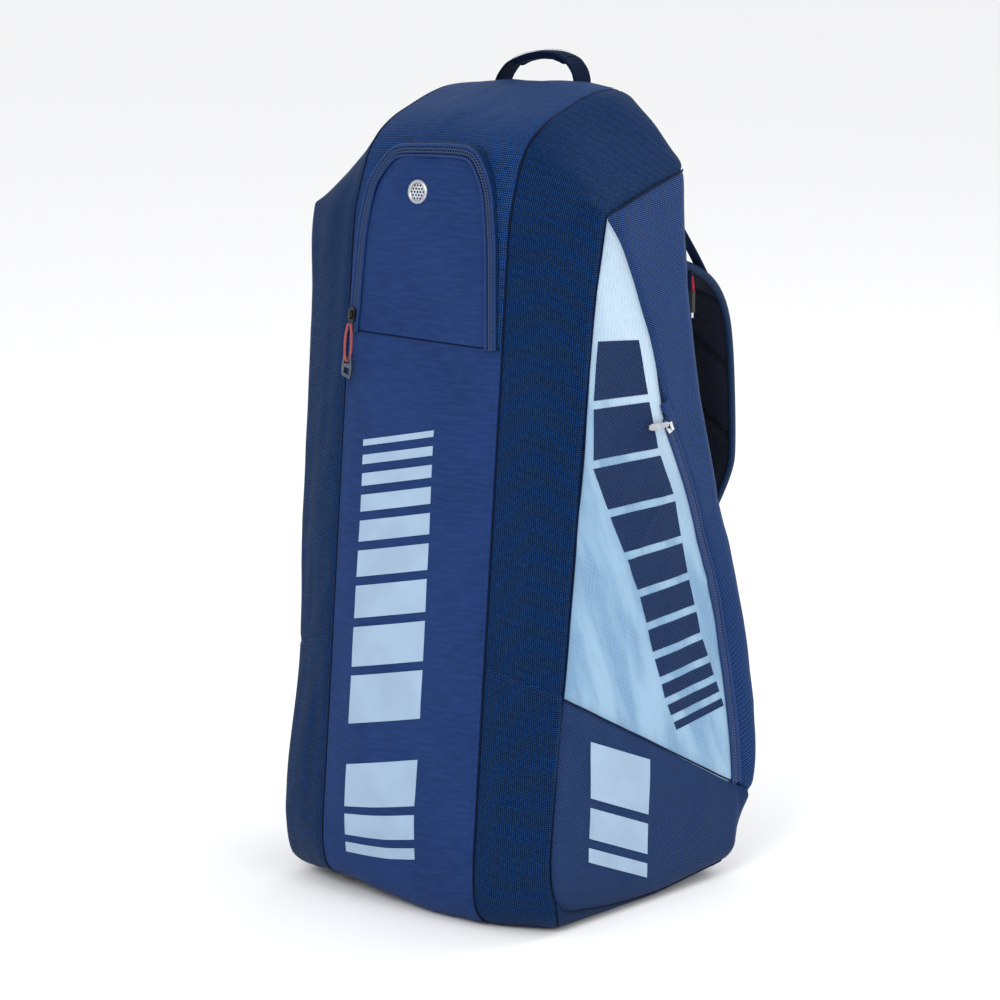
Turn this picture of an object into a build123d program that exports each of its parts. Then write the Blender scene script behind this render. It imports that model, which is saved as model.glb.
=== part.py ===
from build123d import *
import os
from math import atan2, cos, degrees, hypot, radians, sin

os.makedirs("parts", exist_ok=True)

# Racket tournament bag standing on its base, in millimetres.
# +Z is up, -Y is the front with the accessory pocket, +Y is the side worn against the back.
# The origin is on the floor, in the middle of the base.

# Outer shape
RIDGE_Z = 768.0          # highest line of the bag, without the carry handle
SPINE_HALF = 97.0        # half width of the middle band that runs up the front and over the top
BACK_HALF = 148.0        # half width of the back panel
SIDE_X0 = 168.1          # half width of the bag at floor level
SIDE_LEAN = 0.015        # the sides lean out by this much per millimetre of height
FRONT_Y0 = -166.0        # front of the middle band, carried down to floor level
FRONT_LEAN = 0.0856      # the front leans back by this much per millimetre of height
BACK_PROUD = 6.0         # the back panel stands this far behind the rear corners
WALL = 5.0               # padded wall
SEAM_GAP = 0.4           # between the covers and the spine
TRAY_TOP = 20.0          # height of the rounded base tray
COVER_BOTTOM = 21.5      # lowest edge of the two racket covers
FOLD_Z = 661.0           # where the front starts to bend back towards the ridge
RIDGE_REAR_Y = 44.0      # rear end of the shoulders
TOP_REAR_Y = 48.4        # rear end of the top panel, just in front of the back panel

# Height and depth along the front and rear corners of a side
SIDE_FRONT = [(COVER_BOTTOM, -130.0), (60.0, -144.0), (592.0, -90.8), (664.0, -75.0)]
SIDE_REAR = [(COVER_BOTTOM, 150.0), (86.0, 158.0), (316.0, 134.0), (460.0, 86.0), (580.0, 57.0),
             (697.0, 48.0)]
STRIP_SEAM_Z = 251.0     # cross seam in the front strip, at the spine
STRIP_SEAM_DROP = 20.0   # how far that seam falls towards the side

# Side pocket zip, an arc on the side given by three points (depth, height)
ZIP_TOP = (19.5, 470.0)
ZIP_MIDDLE = (90.0, 322.0)
ZIP_LOW = (142.0, 92.0)
ZIP_HALF = 5.0
POCKET_DEPTH = 22.0      # between the side panel and the side pocket's lining

# Accessory pocket
POCKET_LOW_Z = 541.0
POCKET_OUTLINE = [(-91.5, POCKET_LOW_Z), (-82.5, 648.0), (-41.0, 723.0),
                  (41.0, 723.0), (82.5, 648.0), (91.5, POCKET_LOW_Z)]
POCKET_CORNER = 26.0     # radius at the top corners
POCKET_SHOULDER = 40.0   # and where the sides turn in
POCKET_LOW_Y = -123.5    # outer face of the flap at its lower edge
POCKET_TOP_Y = -113.0    # outer face of the flap at its top
POCKET_TOP_Z = 723.0
FLAP_THICK = 3.0
POCKET_ZIP_WIDTH = 9.0
POUCH_INSET = 12.0       # the pouch inside the bag is smaller than the pocket's front by this much all round
POUCH_DEEP = 30.0        # from the flap to the back of the pouch
GROMMET_Z = 678.0
GROMMET_X = -12.0
GROMMET_R = 12.0

# Carry handle
HANDLE_HALF = 48.0       # half the distance between its feet
HANDLE_WIDTH = 25.0
HANDLE_Y = 50.0          # it rises from the seam between the top and back panels
HANDLE_RISE = 31.0       # top of the arch above the ridge
WEBBING = 2.5

# Shoulder straps
STRAP_X = 98.0
STRAP_WIDTH = 64.0
STRAP_PAD = 12.0
STRAP_HINGE = (57.0, 702.0)
STRAP_ROUTE = [(62.0, 630.0), (95.0, 620.0), (135.0, 594.0), (162.0, 552.0), (174.0, 500.0),
               (176.0, 440.0), (171.0, 385.0), (160.0, 340.0)]
WEB_WIDTH = 25.0


def save(node, shape):
    """Write one named piece."""
    export_step(shape, f"parts/{node}.step")


def save_pair(name, shape):
    """Write the right piece and its mirror image on the left."""
    save("right_" + name, shape)
    save("left_" + name, mirror(shape, about=Plane.YZ))


def between(table, z):
    """Straight-line value at height z in a table of (height, depth)."""
    for (z0, y0), (z1, y1) in zip(table, table[1:]):
        if z <= z1:
            return y0 + (y1 - y0) * (z - z0) / (z1 - z0)
    return table[-1][1]


def front_y(z):
    return FRONT_Y0 + FRONT_LEAN * z


def side_x(z):
    return SIDE_X0 + SIDE_LEAN * z


def back_y(z):
    return between(SIDE_REAR, z) + BACK_PROUD


def offset_line(points, distance):
    """Shift an open 2-D line to its left by distance, with mitred corners."""
    shifted = []
    last = len(points) - 1
    for i, (a, b) in enumerate(points):
        before = points[max(i - 1, 0)]
        after = points[min(i + 1, last)]
        directions = []
        for p, q in ((before, (a, b)), ((a, b), after)):
            length = hypot(q[0] - p[0], q[1] - p[1])
            if length > 0:
                directions.append(((q[0] - p[0]) / length, (q[1] - p[1]) / length))
        nx = sum(-d[1] for d in directions)
        ny = sum(d[0] for d in directions)
        size = hypot(nx, ny)
        nx, ny = nx / size, ny / size
        along = -directions[0][1] * nx + directions[0][0] * ny
        shifted.append((a + nx * distance / along, b + ny * distance / along))
    return shifted


def band(profile, near, far, x_low, x_high, first=0, last=None):
    """A band from a (depth, height) profile: its thickness lies between two offsets of the profile.

    first and last pick a stretch of the profile, which keeps its mitred ends."""
    stretch = slice(first, None if last is None else last + 1)
    loop = offset_line(profile, near)[stretch] + offset_line(profile, far)[stretch][::-1]
    face = Face(Wire.make_polygon([Vector(x_low, y, z) for y, z in loop]))
    return extrude(face, amount=x_high - x_low, dir=(1, 0, 0))


def stack(sections):
    """A closed solid through matching polygons, one after the other."""
    faces = [Face(Wire.make_polygon(sections[0])), Face(Wire.make_polygon(sections[-1]))]
    for low, high in zip(sections, sections[1:]):
        for i in range(len(low)):
            j = (i + 1) % len(low)
            faces.append(Face(Wire.make_polygon([low[i], low[j], high[j]])))
            faces.append(Face(Wire.make_polygon([low[i], high[j], high[i]])))
    return Solid(Shell(faces))


def circle_through(a, b, c):
    """Centre and radius of the circle through three 2-D points."""
    d = 2 * (a[0] * (b[1] - c[1]) + b[0] * (c[1] - a[1]) + c[0] * (a[1] - b[1]))
    aa, bb, cc = (p[0] ** 2 + p[1] ** 2 for p in (a, b, c))
    u = (aa * (b[1] - c[1]) + bb * (c[1] - a[1]) + cc * (a[1] - b[1])) / d
    v = (aa * (c[0] - b[0]) + bb * (a[0] - c[0]) + cc * (b[0] - a[0])) / d
    return (u, v), hypot(a[0] - u, a[1] - v)


def box_between(low, high):
    size = [h - l for l, h in zip(low, high)]
    middle = [(l + h) / 2 for l, h in zip(low, high)]
    return Pos(*middle) * Box(*size)


# ---------------------------------------------------------------- spine, base and back

TRIM_WIDTH = 5.0         # piping and zip beside the middle band
PANEL_HALF = SPINE_HALF - TRIM_WIDTH - 0.2

# The middle band, up the front and over the top. It runs upwards and backwards, so the inside is on
# its right: a negative offset.
spine_profile = [(-154.0, COVER_BOTTOM), (-160.5, 40.0), (front_y(66.0), 66.0),
                 (front_y(POCKET_LOW_Z), POCKET_LOW_Z), (front_y(FOLD_Z), FOLD_Z), (-98.0, 699.0),
                 (-92.0, 716.0), (-78.0, 733.0), (-56.0, 746.0), (-10.0, 762.0), (15.0, RIDGE_Z),
                 (TOP_REAR_Y, RIDGE_Z)]
POCKET_SEAM = 3          # the point of that profile where the accessory pocket starts
TOP_SEAM = 6             # and the one where the top panel starts


def spine():
    half = PANEL_HALF
    save("spine_lower_panel", band(spine_profile, 0, -WALL, -half, half, 0, POCKET_SEAM))
    upper = band(spine_profile, 0, -WALL, -half, half, POCKET_SEAM, TOP_SEAM)
    save("spine_upper_panel", upper - pocket_prism(POUCH_INSET - 0.2))
    save("top_panel", band(spine_profile, 0, -WALL, -half, half, TOP_SEAM))
    piping = band(spine_profile, 0, -1.5, SPINE_HALF - TRIM_WIDTH, SPINE_HALF)
    save("spine_piping", Compound(children=[piping, mirror(piping, about=Plane.YZ)]))
    zip_half = band(spine_profile, -1.7, -8.0, SPINE_HALF - TRIM_WIDTH, SPINE_HALF)
    save_pair("main_zip", zip_half)


def tray_loop(inset, z):
    """Plan outline of the base tray, moved in by inset."""
    half = side_x(TRAY_TOP) - inset
    back_half = min(BACK_HALF, half - 8.0)
    front = -153.0 + inset
    corner = -130.0 + inset
    rear = 153.0 - inset
    loop = [(-SPINE_HALF, front), (SPINE_HALF, front), (half, corner), (half, rear - 8.0),
            (back_half, rear), (-back_half, rear), (-half, rear - 8.0), (-half, corner)]
    return [Vector(x, y, z) for x, y in loop]


def base():
    outside = stack([tray_loop(24, 0), tray_loop(9, 5), tray_loop(2, 12), tray_loop(0, TRAY_TOP)])
    inside = stack([tray_loop(24, 4), tray_loop(14, 8), tray_loop(7, 14), tray_loop(WALL, TRAY_TOP + 1)])
    save("base_tray", outside - inside)
    board = stack([tray_loop(30, 4.6), tray_loop(30, 7)])
    save("base_board", board)


def back():
    line = [(back_y(COVER_BOTTOM) - 2.0, COVER_BOTTOM)]
    line += [(y + BACK_PROUD, z) for z, y in SIDE_REAR[1:]]
    line.append((back_y(RIDGE_Z), RIDGE_Z))
    lumbar = 2           # the point of that line where the lumbar pad ends
    lower = band(line, 0, WALL, -BACK_HALF, BACK_HALF, 0, lumbar)
    upper = band(line, 0, WALL, -BACK_HALF, BACK_HALF, lumbar)
    # The top corners are cut off in line with the shoulders.
    outline = [(-BACK_HALF, 300.0), (-BACK_HALF, 722.0), (-112.0, 760.0),
               (112.0, 760.0), (BACK_HALF, 722.0), (BACK_HALF, 300.0)]
    face = Face(Wire.make_polygon([Vector(x, 0, z) for x, z in outline]))
    cutter = extrude(face, amount=400, dir=(0, 1, 0))
    save("back_panel_lower", lower)
    save("back_panel_upper", upper & cutter)
    sheet = band(line, WALL + 0.2, WALL + 1.6, -BACK_HALF + 20, BACK_HALF - 20, 1, 5)
    save("back_frame_sheet", sheet)


def divider():
    """Padded wall between the two racket compartments."""
    clear = WALL + 2.5
    front = [(front_y(z) + clear, z) for z in (40.0, POCKET_LOW_Z - 8.0)]
    front += [(flap_y(z) + POUCH_DEEP + 4.0, z) for z in (POCKET_LOW_Z - 8.0, POCKET_TOP_Z)]
    rear = [(back_y(z) - clear, z) for z in (700.0, 580.0, 460.0, 316.0, 86.0, 40.0)]
    loop = [(-120.0, 12.0)] + front + [(-60.0, 734.0), (38.0, 752.0)] + rear + [(120.0, 12.0)]
    face = Face(Wire.make_polygon([Vector(-2.5, y, z) for y, z in loop]))
    save("centre_divider", extrude(face, amount=5.0, dir=(1, 0, 0)))


# ---------------------------------------------------------------- racket covers

def strip_section(z_spine, z_side, bulge=2.0):
    """Section of the front strip between the spine seam and the front corner of the side."""
    seam_x = SPINE_HALF + SEAM_GAP
    yf = between([(p[1], p[0]) for p in spine_profile[:6]], z_spine)
    ys = between(SIDE_FRONT, z_side)
    xs = side_x(z_side)
    middle_x = (seam_x + xs) / 2
    middle_y = (yf + ys) / 2 - bulge
    slope = (z_side - z_spine) / (xs - seam_x)
    points = [(seam_x, yf), (middle_x, middle_y), (xs, ys), (xs, ys + WALL), (xs - WALL, ys + WALL),
              (middle_x, middle_y + WALL), (seam_x, yf + WALL)]
    return [Vector(x, y, z_spine + slope * (x - seam_x)) for x, y in points]


def front_strips():
    seam_side = STRIP_SEAM_Z - STRIP_SEAM_DROP
    lower = [strip_section(COVER_BOTTOM, COVER_BOTTOM), strip_section(60.0, 60.0),
             strip_section(STRIP_SEAM_Z, seam_side)]
    upper = [strip_section(STRIP_SEAM_Z + 0.2, seam_side + 0.2), strip_section(420.0, 420.0),
             strip_section(592.0, 592.0), strip_section(FOLD_Z, 664.0)]
    save_pair("front_strip_lower", stack(lower))
    save_pair("front_strip_upper", stack(upper))


def shoulder():
    """The slanting shoulder between the top of the side and the ridge."""
    seam_x = SPINE_HALF + SEAM_GAP
    rows = [  # (seam depth, height), (middle x, depth, height), (dart seam depth, height)
        ((-98.0, 699.0), (140.0, -84.0, 688.0), (-73.5, 664.9)),
        ((-86.0, 724.0), (140.0, -70.0, 700.0), (-66.0, 667.0)),
        ((-56.0, 746.0), (136.0, -47.0, 713.0), (-45.0, 672.0)),
        ((-10.0, 762.0), (126.0, -5.0, 736.0), (-5.0, 683.0)),
        ((15.0, RIDGE_Z), (114.0, 18.0, 760.0), (20.0, 690.0)),
        ((RIDGE_REAR_Y, RIDGE_Z), (114.0, RIDGE_REAR_Y, 764.0), (RIDGE_REAR_Y, 696.0)),
    ]
    first = strip_section(FOLD_Z + 0.2, 664.2)
    sections = [first]
    for (ys, zs), (xm, ym, zm), (yd, zd) in rows:
        xd = side_x(zd)
        down = min(WALL, zd - 664.4)
        sections.append([
            Vector(seam_x, ys, zs), Vector(xm, ym, zm), Vector(xd, yd, zd), Vector(xd, yd, zd - down),
            Vector(xd - WALL, yd, zd - down), Vector(xm - 4.0, ym, zm - WALL - 2.0),
            Vector(seam_x, ys, zs - WALL)])
    save_pair("shoulder_panel", stack(sections))


def side_plane(depth=0.0):
    """Plane of the right side, moved in by depth: its x runs along +Y and its y up the side."""
    outward = Vector(1, 0, -SIDE_LEAN).normalized()
    return Plane(origin=Vector(SIDE_X0, 0, 0) - outward * depth, x_dir=(0, 1, 0), z_dir=outward)


def side_plate(edges, depth=0.0, thick=WALL):
    plane = side_plane(depth)
    return extrude(plane * Face(Wire(edges)), amount=thick, dir=-plane.z_dir)


def line_chain(points):
    return [Line((a[0], a[1], 0), (b[0], b[1], 0)) for a, b in zip(points, points[1:])]


zip_centre, zip_radius = circle_through(ZIP_TOP, ZIP_MIDDLE, ZIP_LOW)


def zip_point(start, radial):
    """Point beside the side zip: start is on its centre line, radial is outwards from the arc's centre."""
    angle = atan2(start[1] - zip_centre[1], start[0] - zip_centre[0])
    r = zip_radius + radial
    return (zip_centre[0] + r * cos(angle), zip_centre[1] + r * sin(angle))


def zip_arc(radial, reverse=False):
    ends = [zip_point(p, radial) for p in (ZIP_TOP, ZIP_MIDDLE, ZIP_LOW)]
    if reverse:
        ends.reverse()
    return ThreePointArc(*[(p[0], p[1], 0) for p in ends])


def sides():
    inset = WALL + 0.2

    def front_edge(z):
        return (between(SIDE_FRONT, z) + inset, z)

    def rear_edge(z):
        return (between(SIDE_REAR, z) - inset, z)

    apex = (-66.0, 658.0)
    triangle_low = front_edge(226.0)
    zip_width = ZIP_HALF + 0.2
    # Light side panel with the pocket behind it
    inner_top = zip_point(ZIP_TOP, -zip_width)
    inner_low = zip_point(ZIP_LOW, -zip_width)
    edges = line_chain([inner_low, triangle_low, front_edge(592.0), apex, inner_top]) + [zip_arc(-zip_width)]
    save_pair("side_pocket_panel", side_plate(edges))
    # Lower side panel
    low = 0.3
    corner = (inner_low[0] + 0.05, inner_low[1] - low)
    tail = rear_edge(corner[1] - 1.0)
    edges = line_chain([corner, tail, rear_edge(60.0), rear_edge(COVER_BOTTOM), front_edge(COVER_BOTTOM),
                        front_edge(60.0), (triangle_low[0], triangle_low[1] - low), corner])
    save_pair("side_lower_panel", side_plate(edges))
    # Rear panel, behind the zip
    outer_top = zip_point(ZIP_TOP, zip_width)
    outer_low = zip_point(ZIP_LOW, zip_width)
    top_line = [(-60.0, 662.4), (-5.0, 677.0), (RIDGE_REAR_Y - 2.0, 690.0)]
    low_rear = rear_edge(outer_low[1] + 2.0)
    rear = [rear_edge(z) for z in (680.0, 580.0, 460.0, 316.0)]
    edges = line_chain([outer_top, (-60.0, 657.0)] + top_line + rear + [low_rear, outer_low])
    save_pair("side_rear_panel", side_plate(edges + [zip_arc(zip_width, reverse=True)]))
    # Zip tape with its chain
    tape = [zip_arc(-ZIP_HALF)] + line_chain([zip_point(ZIP_LOW, -ZIP_HALF), zip_point(ZIP_LOW, ZIP_HALF)])
    tape += [zip_arc(ZIP_HALF, reverse=True)]
    tape += line_chain([zip_point(ZIP_TOP, ZIP_HALF), zip_point(ZIP_TOP, -ZIP_HALF)])
    save_pair("side_zip", side_plate(tape, depth=1.0, thick=2.5))
    # Inner wall of the side pocket
    lining = line_chain([(118.0, 110.0), (-104.0, 224.0), (-72.0, 560.0), (-52.0, 610.0), (12.0, 470.0),
                         (78.0, 320.0), (118.0, 110.0)])
    save_pair("side_pocket_lining", side_plate(lining, depth=WALL + POCKET_DEPTH, thick=1.5))


def rear_strip():
    """Strip that turns the rear corner, from the side to the back panel."""
    sections = []
    top_z, top_x, top_y = 722.0, 156.0, 47.0
    for z in (COVER_BOTTOM, 86.0, 316.0, 460.0, 580.0, 690.0, top_z):
        y = between(SIDE_REAR, z) if z < top_z else top_y
        x = side_x(z) if z < top_z else top_x
        start = BACK_HALF + 0.6
        lip = min(WALL, y - RIDGE_REAR_Y - 0.9)    # stays behind the shoulder
        proud = BACK_PROUD - 2.0 if z < 30 else BACK_PROUD
        sections.append([
            Vector(start, y + proud, z), Vector(start + (x - start) * 0.5, y + proud - 1.5, z),
            Vector(x, y, z), Vector(x, y - lip, z), Vector(x - WALL * 0.9, y - lip, z),
            Vector(start, y + proud - WALL, z)])
    save_pair("rear_strip", stack(sections))


# ---------------------------------------------------------------- sliders and pulls

def zip_slider(length, width, height):
    """Slider body lying along +Y on the XY plane, with the loop that carries its pull."""
    nose = Polyline((-width / 2, -length * 0.2), (-width / 2, length * 0.3), (-width * 0.3, length / 2),
                    (width * 0.3, length / 2), (width / 2, length * 0.3), (width / 2, -length * 0.2),
                    (width * 0.32, -length / 2), (-width * 0.32, -length / 2), close=True)
    plate = extrude(make_face(nose), amount=height * 0.45, dir=(0, 0, 1))
    loop = Pos(0, 0, height * 0.725 - 0.01) * Box(width * 0.3, length * 0.62, height * 0.55)
    hole = Pos(0, 0, height * 0.66) * Box(width, length * 0.34, height * 0.34)
    return plate + (loop - hole)


def flap_y(z):
    return POCKET_LOW_Y + (POCKET_TOP_Y - POCKET_LOW_Y) * (z - POCKET_LOW_Z) / (POCKET_TOP_Z - POCKET_LOW_Z)


flap_lean = (POCKET_TOP_Y - POCKET_LOW_Y) / (POCKET_TOP_Z - POCKET_LOW_Z)


def pocket_face(inset):
    """Outline of the accessory pocket on the plane y = 0, moved in by inset at the sides and top."""
    line = offset_line(POCKET_OUTLINE, -inset)
    slope = (POCKET_OUTLINE[1][0] - POCKET_OUTLINE[0][0]) / (POCKET_OUTLINE[1][1] - POCKET_OUTLINE[0][1])
    ends = [(line[0][0] - slope * (line[0][1] - POCKET_LOW_Z), POCKET_LOW_Z),
            (line[-1][0] + slope * (line[-1][1] - POCKET_LOW_Z), POCKET_LOW_Z)]
    points = [ends[0]] + line[1:-1] + [ends[1]]
    face = Face(Wire.make_polygon([Vector(x, z, 0) for x, z in points]))
    face = fillet(face.vertices().sort_by(Axis.Y)[-2:], POCKET_CORNER - inset * 0.5)
    face = fillet(face.vertices().sort_by(Axis.Y)[2:4], POCKET_SHOULDER)
    return Plane(origin=(0, 0, 0), x_dir=(1, 0, 0), z_dir=(0, -1, 0)) * face


def wedge(front_inset, rear_inset):
    """The space between the flap's plane and the middle band, as a prism across the bag."""
    low, high = POCKET_LOW_Z - 2.0, 730.0
    front = [(flap_y(low) + front_inset, low), (flap_y(high) + front_inset, high)]
    rear = [(-70.0, 735.0), (-86.0, 724.0), (-92.0, 716.0), (-98.0, 699.0), (front_y(FOLD_Z), FOLD_Z),
            (front_y(low), low)]
    rear = [(y - rear_inset, z) for y, z in rear]
    face = Face(Wire.make_polygon([Vector(-120, y, z) for y, z in front + rear]))
    return extrude(face, amount=240, dir=(1, 0, 0))


def pocket_prism(inset):
    return Pos(0, -40, 0) * extrude(pocket_face(inset), amount=100, dir=(0, -1, 0))


def slab(inset_front, inset_rear):
    """Everything between two planes parallel to the flap."""
    low, high = 500.0, 760.0
    loop = [(flap_y(low) + inset_front, low), (flap_y(high) + inset_front, high),
            (flap_y(high) + inset_rear, high), (flap_y(low) + inset_rear, low)]
    face = Face(Wire.make_polygon([Vector(-120, y, z) for y, z in loop]))
    return extrude(face, amount=240, dir=(1, 0, 0))


def accessory_pocket():
    wall = (pocket_prism(0) - pocket_prism(2.5)) & wedge(FLAP_THICK + 0.2, 0.3)
    save("pocket_wall", wall)
    outside = pocket_prism(POUCH_INSET) & slab(FLAP_THICK + 1.0, POUCH_DEEP)
    inside = pocket_prism(POUCH_INSET + 2.0) & slab(-20.0, POUCH_DEEP - 1.5)
    save("pocket_pouch", outside - inside - wedge(-20.0, 0.0))
    ring = (pocket_prism(0) - pocket_prism(POCKET_ZIP_WIDTH)) & slab(0.6, FLAP_THICK)
    floor_cut = box_between((-120, -200, 400), (120, 0, POCKET_LOW_Z + 6.0))
    save("pocket_zip", ring - floor_cut)
    hole = Pos(GROMMET_X, flap_y(GROMMET_Z), GROMMET_Z) * Rot(90, 0, 0) * Cylinder(GROMMET_R - 1.5, 40)
    flap = (pocket_prism(POCKET_ZIP_WIDTH + 0.5) & slab(0.0, FLAP_THICK)) - hole
    low_cut = box_between((-120, -200, 400), (120, 0, POCKET_LOW_Z + 4.0))
    save("pocket_flap", flap - low_cut)
    tilt = Pos(GROMMET_X, flap_y(GROMMET_Z), GROMMET_Z) * Rot(90, 0, 0)
    lean = Rot(-degrees(atan2(flap_lean, 1)), 0, 0)
    ring_rim = Pos(0, 0, 0.9) * (Cylinder(GROMMET_R, 1.6) - Cylinder(GROMMET_R - 3.0, 4))
    barrel = Pos(0, 0, -1.6) * (Cylinder(GROMMET_R - 1.7, 3.6) - Cylinder(GROMMET_R - 3.0, 8))
    save("vent_grommet", tilt * lean * (ring_rim + barrel))
    mesh = Pos(0, 0, -1.6) * Cylinder(GROMMET_R - 3.2, 0.8)
    holes = [Pos(x * 4.0, y * 4.0, -1.6) * Cylinder(1.2, 4) for x in (-1, 0, 1) for y in (-1, 0, 1)]
    for pin in holes:
        mesh -= pin
    save("vent_mesh", tilt * lean * mesh)


POCKET_SLIDER_Z = 556.0
slide_dx = (POCKET_OUTLINE[1][0] - POCKET_OUTLINE[0][0]) / (POCKET_OUTLINE[1][1] - POCKET_OUTLINE[0][1])


def pocket_zip_x(z):
    return POCKET_OUTLINE[0][0] + slide_dx * (z - POCKET_LOW_Z) + POCKET_ZIP_WIDTH / 2


PULL_TOP = (pocket_zip_x(POCKET_SLIDER_Z), flap_y(POCKET_SLIDER_Z) - 3.0, POCKET_SLIDER_Z - 2.0)
CORD_R = 1.2
CORD_HALF = 3.0
CORD_DROP = 36.0


def pocket_slider():
    place = Plane(origin=(pocket_zip_x(POCKET_SLIDER_Z), flap_y(POCKET_SLIDER_Z) - 0.4, POCKET_SLIDER_Z),
                  x_dir=Vector(1, 0, -slide_dx), z_dir=Vector(0, -1, flap_lean).normalized())
    save("pocket_slider", place * zip_slider(14.0, 8.0, 5.4))


def pull_cord():
    """A red loop of cord from the slider, through the eye of the tab and back."""
    x, y, z = PULL_TOP
    lean = -0.09

    def at(dx, drop, out=0.0):
        return (x + dx, y - 2.2 + lean * drop - out, z - 6.0 - drop)

    fold = CORD_DROP - 1.0
    route = [at(-1.5, 0.0), at(-CORD_HALF, 10.0, 1.5), at(-2.0, 24.0, 2.6), at(-0.6, fold, 2.6),
             at(0.6, fold, -2.6), at(2.2, 22.0, -2.0), at(CORD_HALF, 9.0, -0.5), at(1.5, 0.0)]
    radii = [18.0, 30.0, 2.2, 2.2, 30.0, 18.0]
    path = FilletPolyline(*route, radius=radii)
    start = Plane(origin=path @ 0, z_dir=path % 0)
    save("pull_cord", sweep(start * Circle(CORD_R), path=path))
    print("pull cord length", path.length, "radii", radii)
    plane = Plane(origin=at(0.0, CORD_DROP + 1.0), x_dir=(1, 0, 0), z_dir=(0, -1, 0.09))
    shape = Polyline((-5.0, 6.2), (5.0, 6.2), (6.5, -6.0), (4.5, -15.0), (-5.5, -12.0), (-6.5, -4.0),
                     close=True)
    window = Polyline((-3.4, -4.0), (3.8, -5.0), (3.4, -11.5), (-3.6, -9.5), close=True)
    eye = Pos(0, 1.7, 0) * Box(7.0, 4.8, 12)
    tab = extrude(make_face(shape), amount=0.9, both=True)
    tab -= extrude(make_face(window), amount=4, both=True) + eye
    save("pull_tab", plane * tab)


def side_sliders():
    """Sliders at the top of the side zips, with a flat metal pull that points to the front."""
    where = side_plane(-0.2)
    down = Vector(ZIP_MIDDLE[0] - ZIP_TOP[0], ZIP_MIDDLE[1] - ZIP_TOP[1], 0).normalized()
    spot = (ZIP_TOP[0] + down.X * 9.0, ZIP_TOP[1] + down.Y * 9.0)
    angle = degrees(atan2(-down.Y, -down.X)) - 90
    slider = where * (Pos(spot[0], spot[1], 0) * Rot(0, 0, angle) * zip_slider(15.0, 9.0, 6.0))
    save_pair("side_slider", slider)
    bar = Polyline((-2.0, -2.2), (-2.0, 2.2), (-26.0, 3.4), (-31.0, 2.6), (-31.0, -1.2), (-26.0, -3.0),
                   close=True)
    pull = extrude(make_face(bar), amount=1.6, dir=(0, 0, 1))
    pull += Pos(-4.0, 0, -0.8) * Box(6.0, 4.0, 1.8)
    save_pair("side_pull", where * (Pos(spot[0] - 5.5, spot[1] + 3.0, 6.6) * pull))


MAIN_SLIDER_Z = 600.0
MAIN_SLIDER_PROUD = 1.8  # clear of the rear strip that it runs beside
MAIN_PULL_TILT = 13.0    # degrees that the hanging pull stands away from the vertical
back_lean = (back_y(690.0) - back_y(600.0)) / 90.0


def main_sliders():
    """Sliders of the racket compartments, low on the rear run of their zips."""
    origin = (BACK_HALF + 0.3, back_y(MAIN_SLIDER_Z) + MAIN_SLIDER_PROUD, MAIN_SLIDER_Z)
    place = Plane(origin=origin, x_dir=(-1, 0, 0), z_dir=Vector(0, 1, -back_lean).normalized())
    save_pair("main_slider", place * zip_slider(17.0, 10.0, 6.5))
    pull = Polyline((-3.0, -6.2), (3.0, -6.2), (4.5, -14.0), (4.0, -44.0), (-4.0, -44.0), (-4.5, -14.0),
                    close=True)
    tilt = radians(MAIN_PULL_TILT)
    hung = (origin[0], origin[1] + 5.0, origin[2])
    grip = Plane(origin=hung, x_dir=(-1, 0, 0), z_dir=(0, cos(tilt), sin(tilt)))
    save_pair("main_pull", grip * extrude(make_face(pull), amount=2.5, dir=(0, 0, 1)))


# ---------------------------------------------------------------- handle

def handle():
    z0 = RIDGE_Z + 0.5
    knee = z0 + 12.0         # the legs stand up to here
    bend = z0 + 25.0         # and lean inwards to here
    outer = [(-HANDLE_HALF - 2, z0), (-HANDLE_HALF - 3, knee), (-HANDLE_HALF + 10, bend),
             (-14.0, z0 + HANDLE_RISE), (14.0, z0 + HANDLE_RISE), (HANDLE_HALF - 10, bend),
             (HANDLE_HALF + 3, knee), (HANDLE_HALF + 2, z0)]
    loop = outer + offset_line(outer, -WEBBING)[::-1]
    face = Face(Wire.make_polygon([Vector(x, HANDLE_Y - HANDLE_WIDTH / 2, z) for x, z in loop]))
    strap = extrude(face, amount=HANDLE_WIDTH, dir=(0, 1, 0))
    # The legs taper to their feet, so that the handle can lean both ways.
    wide = HANDLE_WIDTH / 2 + 1.0
    taper = [(-1.0, z0 + 1.2), (1.0, z0 + 1.2), (wide, knee + 1.5), (wide, z0 + 60.0), (-wide, z0 + 60.0),
             (-wide, knee + 1.5)]
    face = Face(Wire.make_polygon([Vector(-80, HANDLE_Y + y, z) for y, z in taper]))
    save("handle_webbing", strap & extrude(face, amount=160, dir=(1, 0, 0)))
    grip_half = 9.0
    grip_thick = 5.0
    grip_top = z0 + HANDLE_RISE - WEBBING - 0.4
    under = [(-30.0, bend - 1.4), (-14.0, grip_top), (14.0, grip_top), (30.0, bend - 1.4)]
    loop = under + offset_line(under, -grip_thick)[::-1]
    face = Face(Wire.make_polygon([Vector(x, HANDLE_Y - grip_half, z) for x, z in loop]))
    save("handle_grip", extrude(face, amount=grip_half * 2, dir=(0, 1, 0)))
    # Patches sewn to the top panel beside the feet
    near, far = HANDLE_HALF + 6.5, HANDLE_HALF + 36.0
    patch = box_between((near, TOP_REAR_Y - 18.0, RIDGE_Z + 0.05), (far, TOP_REAR_Y - 1.0, RIDGE_Z + 2.0))
    save("handle_anchors", Compound(children=[patch, mirror(patch, about=Plane.YZ)]))


# ---------------------------------------------------------------- shoulder straps

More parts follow.
